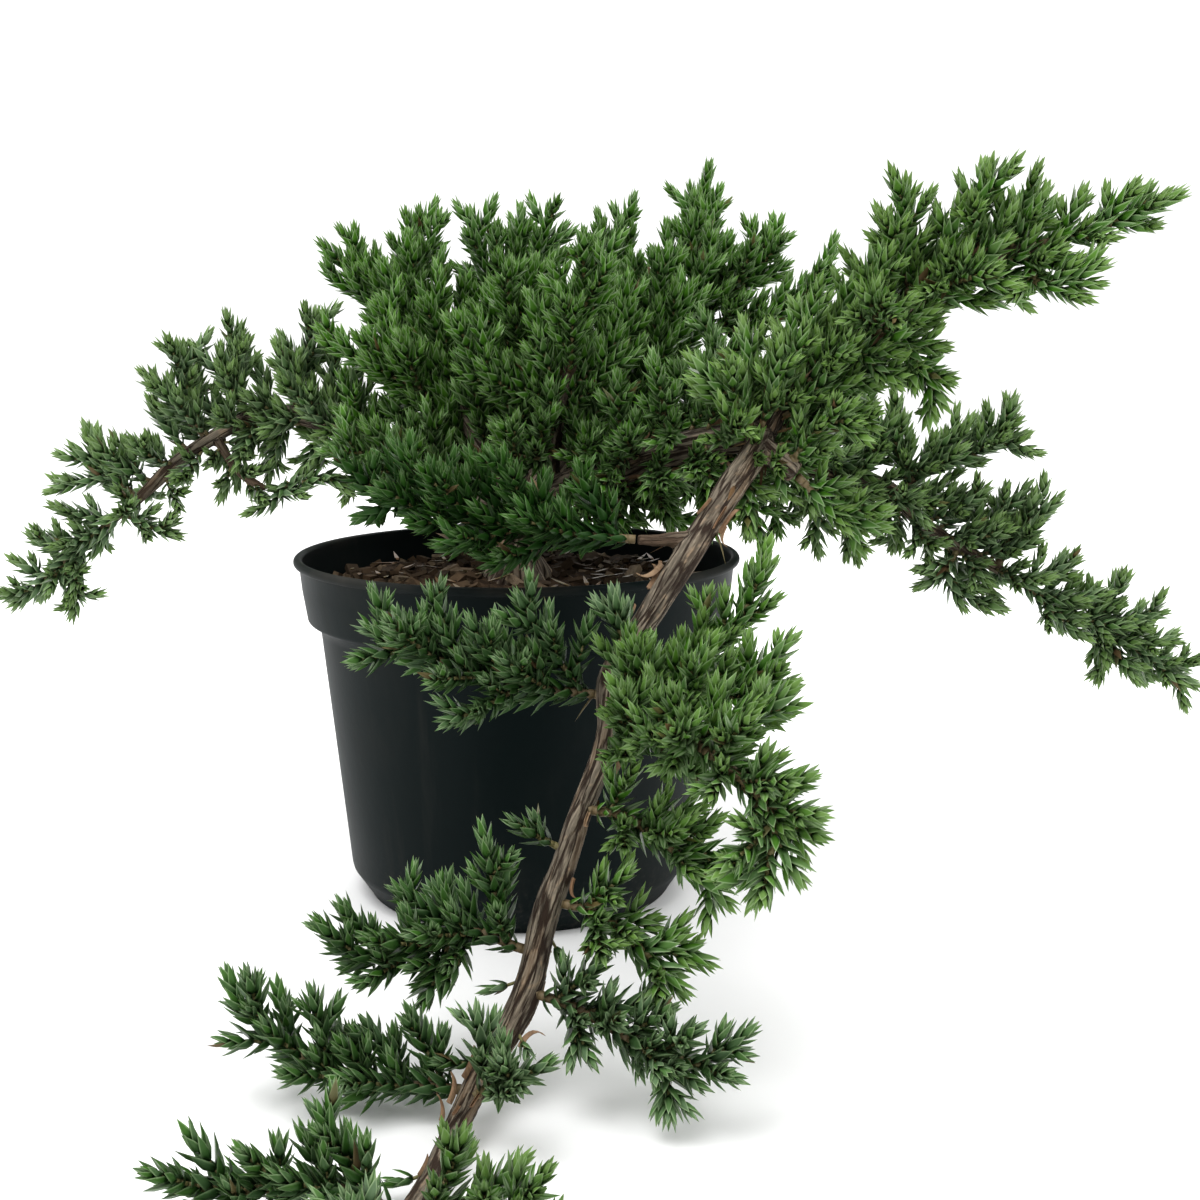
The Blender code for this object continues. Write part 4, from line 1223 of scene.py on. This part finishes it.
class Spray:
    """One spray of foliage as it grows: its leaves and its stalks."""

    def __init__(self, settings, leaf, stalk, name):
        self.settings = settings
        self.leaves = Heap(leaf, 0)
        self.stalks = Heap(stalk, 1)
        self.chance = random.Random(name)
        habit = next(part for part in HABITS if name.startswith(part))
        tint, self.angle, self.rise, self.youth, self.depth, self.spread = HABITS[habit]
        self.tint = tint + self.chance.uniform(-0.12, 0.12)

    def shoot(self, route, bare, thick, vigour):
        """A stalk along a route, with whorls of three leaves, each turned to fill the gaps of the last."""
        settings, chance = self.settings, self.chance
        way = way_along(route)
        total = way[-1]
        spots, spot = [], bare
        while spot < total:
            spots.append(spot)
            spot += settings.whorl_step * (0.55 + 0.45 * min((total - spot) / (5 * MM), 1.0))
        if not spots:
            return
        spots = np.array(spots)
        centres = route_at(route, way, spots)
        along = unit(route_at(route, way, spots + 0.4 * MM) - route_at(route, way, spots - 0.4 * MM))
        left = total - spots
        count = len(spots)
        rng = np.random.RandomState(chance.randrange(1 << 30))
        side = unit(np.cross(along, OFF_AXIS))
        other = np.cross(along, side)
        thickness = thick * (0.45 + 0.55 * np.clip(left / (18 * MM), 0.0, 1.0))
        open_out = np.clip(left / (7 * MM), 0.0, 1.0) ** 0.8
        for k in range(3):
            turn = k * math.tau / 3 + np.arange(count) * math.pi / 3 + rng.uniform(-0.2, 0.2, count)
            outward = side * np.cos(turn)[:, None] + other * np.sin(turn)[:, None]
            spread = np.radians(TIP_SPREAD + self.spread * open_out + rng.uniform(-7, 9, count))
            point = along * np.cos(spread)[:, None] + outward * np.sin(spread)[:, None]
            point[:, 2] += LEAF_LIFT
            point = unit(point)
            face = unit(along - point * np.sum(along * point, axis=1, keepdims=True))
            across = np.cross(face, point)
            grown = 0.68 + 0.32 * np.clip(left / (4.5 * MM), 0.0, 1.0)
            size = grown * (0.8 + 0.2 * np.clip((spots - bare) / (3 * MM), 0.0, 1.0))
            size = size * rng.uniform(0.85, 1.12, count)
            broad = size * rng.uniform(0.88, 1.1, count)
            foot = centres + outward * (thickness * 0.55)[:, None]
            tips = foot + point * (settings.leaf_length * size)[:, None]
            kept = free(tips, 0.25 * MM) & free(foot, 0.25 * MM)
            # Subtracting depth pushes age below 0, which the leaf finish paints as shade on sprays that stand
            # in shade.
            age = np.clip(1.0 - left / (8 * MM), 0.0, 1.0) * vigour * self.youth - self.depth
            tint = np.clip(self.tint + rng.uniform(-0.35, 0.35, count), 0.0, 1.0)
            dry = (rng.uniform(0.0, 1.0, count) < DRY_SHARE) * rng.uniform(0.5, 1.0, count)
            self.leaves.add(
                foot[kept],
                (across * (settings.leaf_width * broad)[:, None])[kept],
                (face * (settings.leaf_thickness * size)[:, None])[kept],
                (point * (settings.leaf_length * size)[:, None])[kept],
                np.stack([tint, age, dry], axis=1)[kept],
            )
        self.stalk(route, way, thick, vigour)

    def stalk(self, route, way, thick, vigour):
        """Lengths of stalk that overlap a little, thinner towards the tip."""
        total = way[-1]
        count = max(int(total / (1.6 * MM)), 1)
        spots = np.linspace(0.0, total - 1.0 * MM, count + 1)
        ends = route_at(route, way, spots)
        step = np.diff(ends, axis=0)
        radius = thick * (0.4 + 0.6 * np.clip((total - spots[:-1]) / (20 * MM), 0.0, 1.0))
        along = unit(step)
        side = unit(np.cross(along, OFF_AXIS))
        other = np.cross(along, side)
        fresh = np.clip(1.0 - (total - spots[:-1]) / (26 * MM), 0.15, 1.0) * (0.6 + 0.4 * vigour)
        growth = np.stack([np.full(count, self.tint), fresh, np.zeros(count)], axis=1)
        kept = free(ends[:-1], 0.2 * MM) & free(ends[1:], 0.2 * MM)
        columns = (side * radius[:, None], other * radius[:, None], step * 1.12)
        self.stalks.add(ends[:-1][kept], *(column[kept] for column in columns), growth[kept])

    def side_route(self, foot, direction, reach, rise):
        """A short curved route that leaves its foot in a direction and bends upwards."""
        share = np.linspace(0.0, 1.0, 6)[:, None]
        sway = np.array([self.chance.uniform(-0.12, 0.12) for _ in range(3)])
        lift = np.array([0.0, 0.0, rise]) + sway
        return np.array(foot) + np.array(direction) * reach * share + lift * reach * share**2

    def side_shoots(self, route, longest, step, start, stop, angle):
        """Side shoots along a route, round it by the golden angle, more above it than below."""
        chance = self.chance
        way = way_along(route)
        total = way[-1]
        for i, spot in enumerate(np.arange(start, total - stop, step)):
            spot += chance.uniform(-0.3, 0.3) * step
            foot = Vector(route_at(route, way, spot))
            along = (Vector(route_at(route, way, spot + 0.5 * MM)) - foot).normalized()
            upward = UP - along * along.z
            level = upward.length > 0.5
            reference = (upward if level else Vector((0.0, -1.0, 0.0)) + along * along.y).normalized()
            turn = (i * GOLDEN_ANGLE + math.pi) % math.tau - math.pi
            turn = turn * (0.88 if level else 1.0) + chance.uniform(-0.25, 0.25)
            across = Matrix.Rotation(turn, 3, along) @ reference
            lean = math.radians(angle + chance.uniform(-8.0, 8.0))
            direction = along * math.cos(lean) + across * math.sin(lean)
            reach = longest * (1.0 - 0.45 * spot / total) * chance.uniform(0.75, 1.15)
            yield self.side_route(foot, direction, reach, self.rise), reach


def nearest_wood(routes, place):
    """The limb whose bark is nearest to a place, and the index of its route's nearest point."""
    best = None
    for name, route in routes.items():
        distances = np.linalg.norm(route[:, :3] - place, axis=1) - route[:, 3]
        k = int(np.argmin(distances))
        if best is None or distances[k] < best[0]:
            best = (distances[k], name, k)
    return best[1], best[2]


class JUNIPER_OT_foliage(bpy.types.Operator):
    """Grows the sprays of leafy shoots."""

    bl_idname = "juniper.foliage"
    bl_label = "Foliage"

    def execute(self, context):
        settings = context.scene.juniper_foliage
        full, plain, stalk = leaf_pattern(LEAF_OUTLINE), leaf_pattern(PLAIN_OUTLINE), stalk_pattern()
        finishes = [leaf_finish(settings), stalk_finish(settings)]
        routes = limb_routes(1.0 * MM)
        feet = {name: nearest_wood(routes, np.array(points[0]) * MM) for name, (points, _) in SPRAYS.items()}
        clothing = self.clothing(routes, feet)
        for name, (points, longest) in SPRAYS.items():
            spray = Spray(settings, full if name.startswith("trail") else plain, stalk, name)
            branchlets = [np.array(branchlet, float) * MM for branchlet in BRANCHLETS.get(name, [])]
            self.grow(spray, np.array(points, float) * MM, branchlets, longest * MM, routes)
            self.clothe(spray, clothing[name], routes)
            item = copies("foliage_" + name, [spray.leaves, spray.stalks], finishes)
            shade(item, 95)
            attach(item, "root")
            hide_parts("spray_" + name)
        return {"FINISHED"}

    def grow(self, spray, points, branchlets, longest, routes):
        """A leader through some points, long side shoots on it, and short ones on all of them."""
        limb, k = nearest_wood(routes, points[0])
        foot, radius = routes[limb][k, :3], routes[limb][k, 3]
        outward = unit(points[0] - foot)
        course = [foot + outward * 0.4 * radius, foot + outward * (radius + 1.5 * MM), *points]
        leader = smooth_route(course, 2 * MM)[:-1]
        bare = radius * 0.6 + spray.settings.bare_stalk
        step = spray.settings.shoot_step
        spray.shoot(leader, bare, 1.0 * MM, 0.8)
        sides = [*spray.side_shoots(leader, longest, step, bare + 1.5 * MM, 4 * MM, spray.angle)]
        for branchlet in branchlets:
            side = smooth_route(branchlet, 2 * MM)
            spray.shoot(side, 0.5 * MM, 0.7 * MM, 0.9)
            sides += spray.side_shoots(side, 0.5 * longest, step, 2 * MM, 3 * MM, spray.angle)
        for side, reach in sides:
            if free(side[2:], 1.5 * MM).all():
                spray.shoot(side, 1.0 * MM, 0.6 * MM, spray.chance.uniform(0.75, 1.0))
                self.divide(spray, side, reach)

    def clothing(self, routes, feet):
        """Where shoots leave each limb, given to the spray whose foot is nearest."""
        owned = {name: [] for name in feet}
        centres = {name: routes[limb][k, :3] for name, (limb, k) in feet.items()}
        for limb, start, stop, step, reach, lift, forward in CLOTHED:
            route = routes[limb]
            for i, k in enumerate(np.arange(start * len(route), stop * len(route) - 2, step)):
                spot = route[int(k), :3]
                owner = min(centres, key=lambda name: np.linalg.norm(centres[name] - spot))
                owned[owner].append((limb, int(k), i, reach * MM, lift, forward))
        return owned

    def clothe(self, spray, spots, routes):
        """Shoots straight from the limbs, round them by the golden angle and turned to the light."""
        chance = spray.chance
        for limb, k, number, longest, lift, forward in spots:
            route = routes[limb]
            foot, radius = Vector(route[k, :3]), route[k, 3]
            along = (Vector(route[k + 1, :3]) - foot).normalized()
            side = (SUNNY_SIDE - along * SUNNY_SIDE.dot(along)).normalized()
            across = Matrix.Rotation(number * GOLDEN_ANGLE + chance.uniform(-0.3, 0.3), 3, along) @ side
            direction = (across + along * forward * chance.uniform(0.7, 1.3) + UP * lift).normalized()
            reach = longest * chance.uniform(0.6, 1.1)
            route_out = spray.side_route(foot + across * 0.8 * radius, direction, reach, 0.15 + 0.6 * lift)
            if free(route_out[1:], 2.0 * MM).all():
                spray.shoot(route_out, 0.3 * radius + 1.0 * MM, 0.6 * MM, chance.uniform(0.7, 1.0))
                self.divide(spray, route_out, reach)

    def divide(self, spray, route, reach):
        """Small shoots on a longer one."""
        if reach < DIVIDING_REACH:
            return
        for small, _ in spray.side_shoots(route, 0.5 * reach, SMALL_STEP, 3 * MM, 3 * MM, SMALL_ANGLE):
            if free(small[2:], 1.5 * MM).all():
                spray.shoot(small, 0.8 * MM, 0.42 * MM, spray.chance.uniform(0.7, 1.0))


class JUNIPER_OT_needles(bpy.types.Operator):
    """Adds dead brown leaves on the old limbs and the soil."""

    bl_idname = "juniper.needles"
    bl_label = "Dry leaves"

    def execute(self, context):
        settings = context.scene.juniper_foliage
        chance = random.Random("needles")
        heap = Heap(leaf_pattern(LEAF_OUTLINE), 0)
        routes = limb_routes(1.0 * MM)
        farthest = 44 * MM
        limbs = ["rising_limb"] * 6 + ["trailing_limb"] * 2
        limbs += ["leaning_limb", "left_limb", "right_limb", "crown_left"]
        for _ in range(settings.dry_on_limbs):
            centre, radius, along = spot_on_limb(routes, limbs, 0.02, 0.5, chance)
            out = turned_out(along, chance)
            point = (out + along * chance.uniform(0.8, 2.2)).normalized()
            self.lay(heap, centre + out * 0.9 * radius, point, along, chance.uniform(4.0, 8.5) * MM, chance)
        for _ in range(settings.dry_on_soil):
            turn, reach = chance.uniform(0.0, math.tau), farthest * math.sqrt(chance.uniform(0.05, 1.0))
            spot = Vector((reach * math.cos(turn), reach * math.sin(turn), SOIL_TOP + 1.2 * MM))
            heading = chance.uniform(0.0, math.tau)
            point = Vector((math.cos(heading), math.sin(heading), chance.uniform(-0.15, 0.2))).normalized()
            self.lay(heap, spot, point, UP, chance.uniform(4.0, 8.0) * MM, chance)
        needles = copies("dry_leaves", [heap], [leaf_finish(settings)])
        shade(needles, 95)
        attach(needles, "root")
        return {"FINISHED"}

    def lay(self, heap, foot, point, toward, size, chance):
        """Lays a dry leaf from its foot along a direction, with its flat face turned another way."""
        if not free(np.array([foot + point * size]), 0.3 * MM).all():
            return
        face = (toward - point * toward.dot(point)).normalized()
        columns = (face.cross(point) * 1.1 * MM, face * 0.4 * MM, point * size)
        heap.add_one(foot, *columns, (chance.random(), 0.0, chance.uniform(0.75, 1.0)))


# The stage.

class JUNIPER_OT_stage(bpy.types.Operator):
    """Sets up the floor, the lights and the camera."""

    bl_idname = "juniper.stage"
    bl_label = "Stage"

    def execute(self, context):
        settings = context.scene.juniper_stage
        deselect_all()
        bpy.ops.mesh.primitive_plane_add(size=8.0)
        floor = bpy.context.object
        floor.name = "floor"
        dressed(floor, floor_finish(settings))
        bpy.ops.object.camera_add(
            location=settings.camera_place,
            rotation=(math.pi / 2 - settings.camera_dip, 0.0, settings.camera_turn),
        )
        camera = bpy.context.object
        camera.data.lens = settings.lens
        camera.data.sensor_width = 36.0
        camera.data.clip_start = 0.01
        context.scene.camera = camera
        for place, size, share in LIGHTS:
            self.soft_light(place, size, share * settings.key_power)
        world = bpy.data.worlds.new("soft_sky")
        world.use_nodes = True
        sky = world.node_tree.nodes["Background"].inputs
        sky["Color"].default_value = (1.0, 1.0, 1.0, 1.0)
        sky["Strength"].default_value = settings.sky
        context.scene.world = world
        context.scene.view_settings.view_transform = "Standard"
        context.scene.view_settings.look = "Medium High Contrast"
        return {"FINISHED"}

    def soft_light(self, place, size, power):
        """A round light that shines at the middle of the plant."""
        turn = (PLANT_MIDDLE - Vector(place)).to_track_quat("-Z", "Y").to_euler()
        bpy.ops.object.light_add(type="AREA", location=place, rotation=turn)
        light = bpy.context.object.data
        light.shape = "DISK"
        light.size = size
        light.energy = power


OPERATORS = (
    JUNIPER_OT_stage,
    JUNIPER_OT_pot,
    JUNIPER_OT_soil,
    JUNIPER_OT_chips,
    JUNIPER_OT_wood,
    JUNIPER_OT_peelings,
    JUNIPER_OT_foliage,
    JUNIPER_OT_needles,
)
SETTINGS = {
    "juniper_stage": JuniperStageSettings,
    "juniper_pot": JuniperPotSettings,
    "juniper_soil": JuniperSoilSettings,
    "juniper_wood": JuniperWoodSettings,
    "juniper_foliage": JuniperFoliageSettings,
}


class JUNIPER_PT_panel(bpy.types.Panel):
    """Lists the operators and their settings."""

    bl_label = "Juniper"
    bl_idname = "JUNIPER_PT_panel"
    bl_space_type = "VIEW_3D"
    bl_region_type = "UI"
    bl_category = "Juniper"

    def draw(self, context):
        for operator in OPERATORS:
            self.layout.operator(operator.bl_idname)
        for name in SETTINGS:
            settings = getattr(context.scene, name)
            box = self.layout.box()
            box.label(text=name.replace("_", " ").title())
            for key in settings.__annotations__:
                box.prop(settings, key)


def register():
    for name, group in SETTINGS.items():
        bpy.utils.register_class(group)
        setattr(bpy.types.Scene, name, PointerProperty(type=group))
    for operator in OPERATORS:
        bpy.utils.register_class(operator)
    bpy.utils.register_class(JUNIPER_PT_panel)


def unregister():
    bpy.utils.unregister_class(JUNIPER_PT_panel)
    for operator in reversed(OPERATORS):
        bpy.utils.unregister_class(operator)
    for name, group in SETTINGS.items():
        delattr(bpy.types.Scene, name)
        bpy.utils.unregister_class(group)


def main():
    register()
    bpy.ops.juniper.stage()
    bpy.ops.juniper.pot()
    bpy.ops.juniper.soil()
    bpy.ops.juniper.chips()
    bpy.ops.juniper.wood()
    bpy.ops.juniper.peelings()
    bpy.ops.juniper.foliage()
    bpy.ops.juniper.needles()


if __name__ == "__main__":
    main()
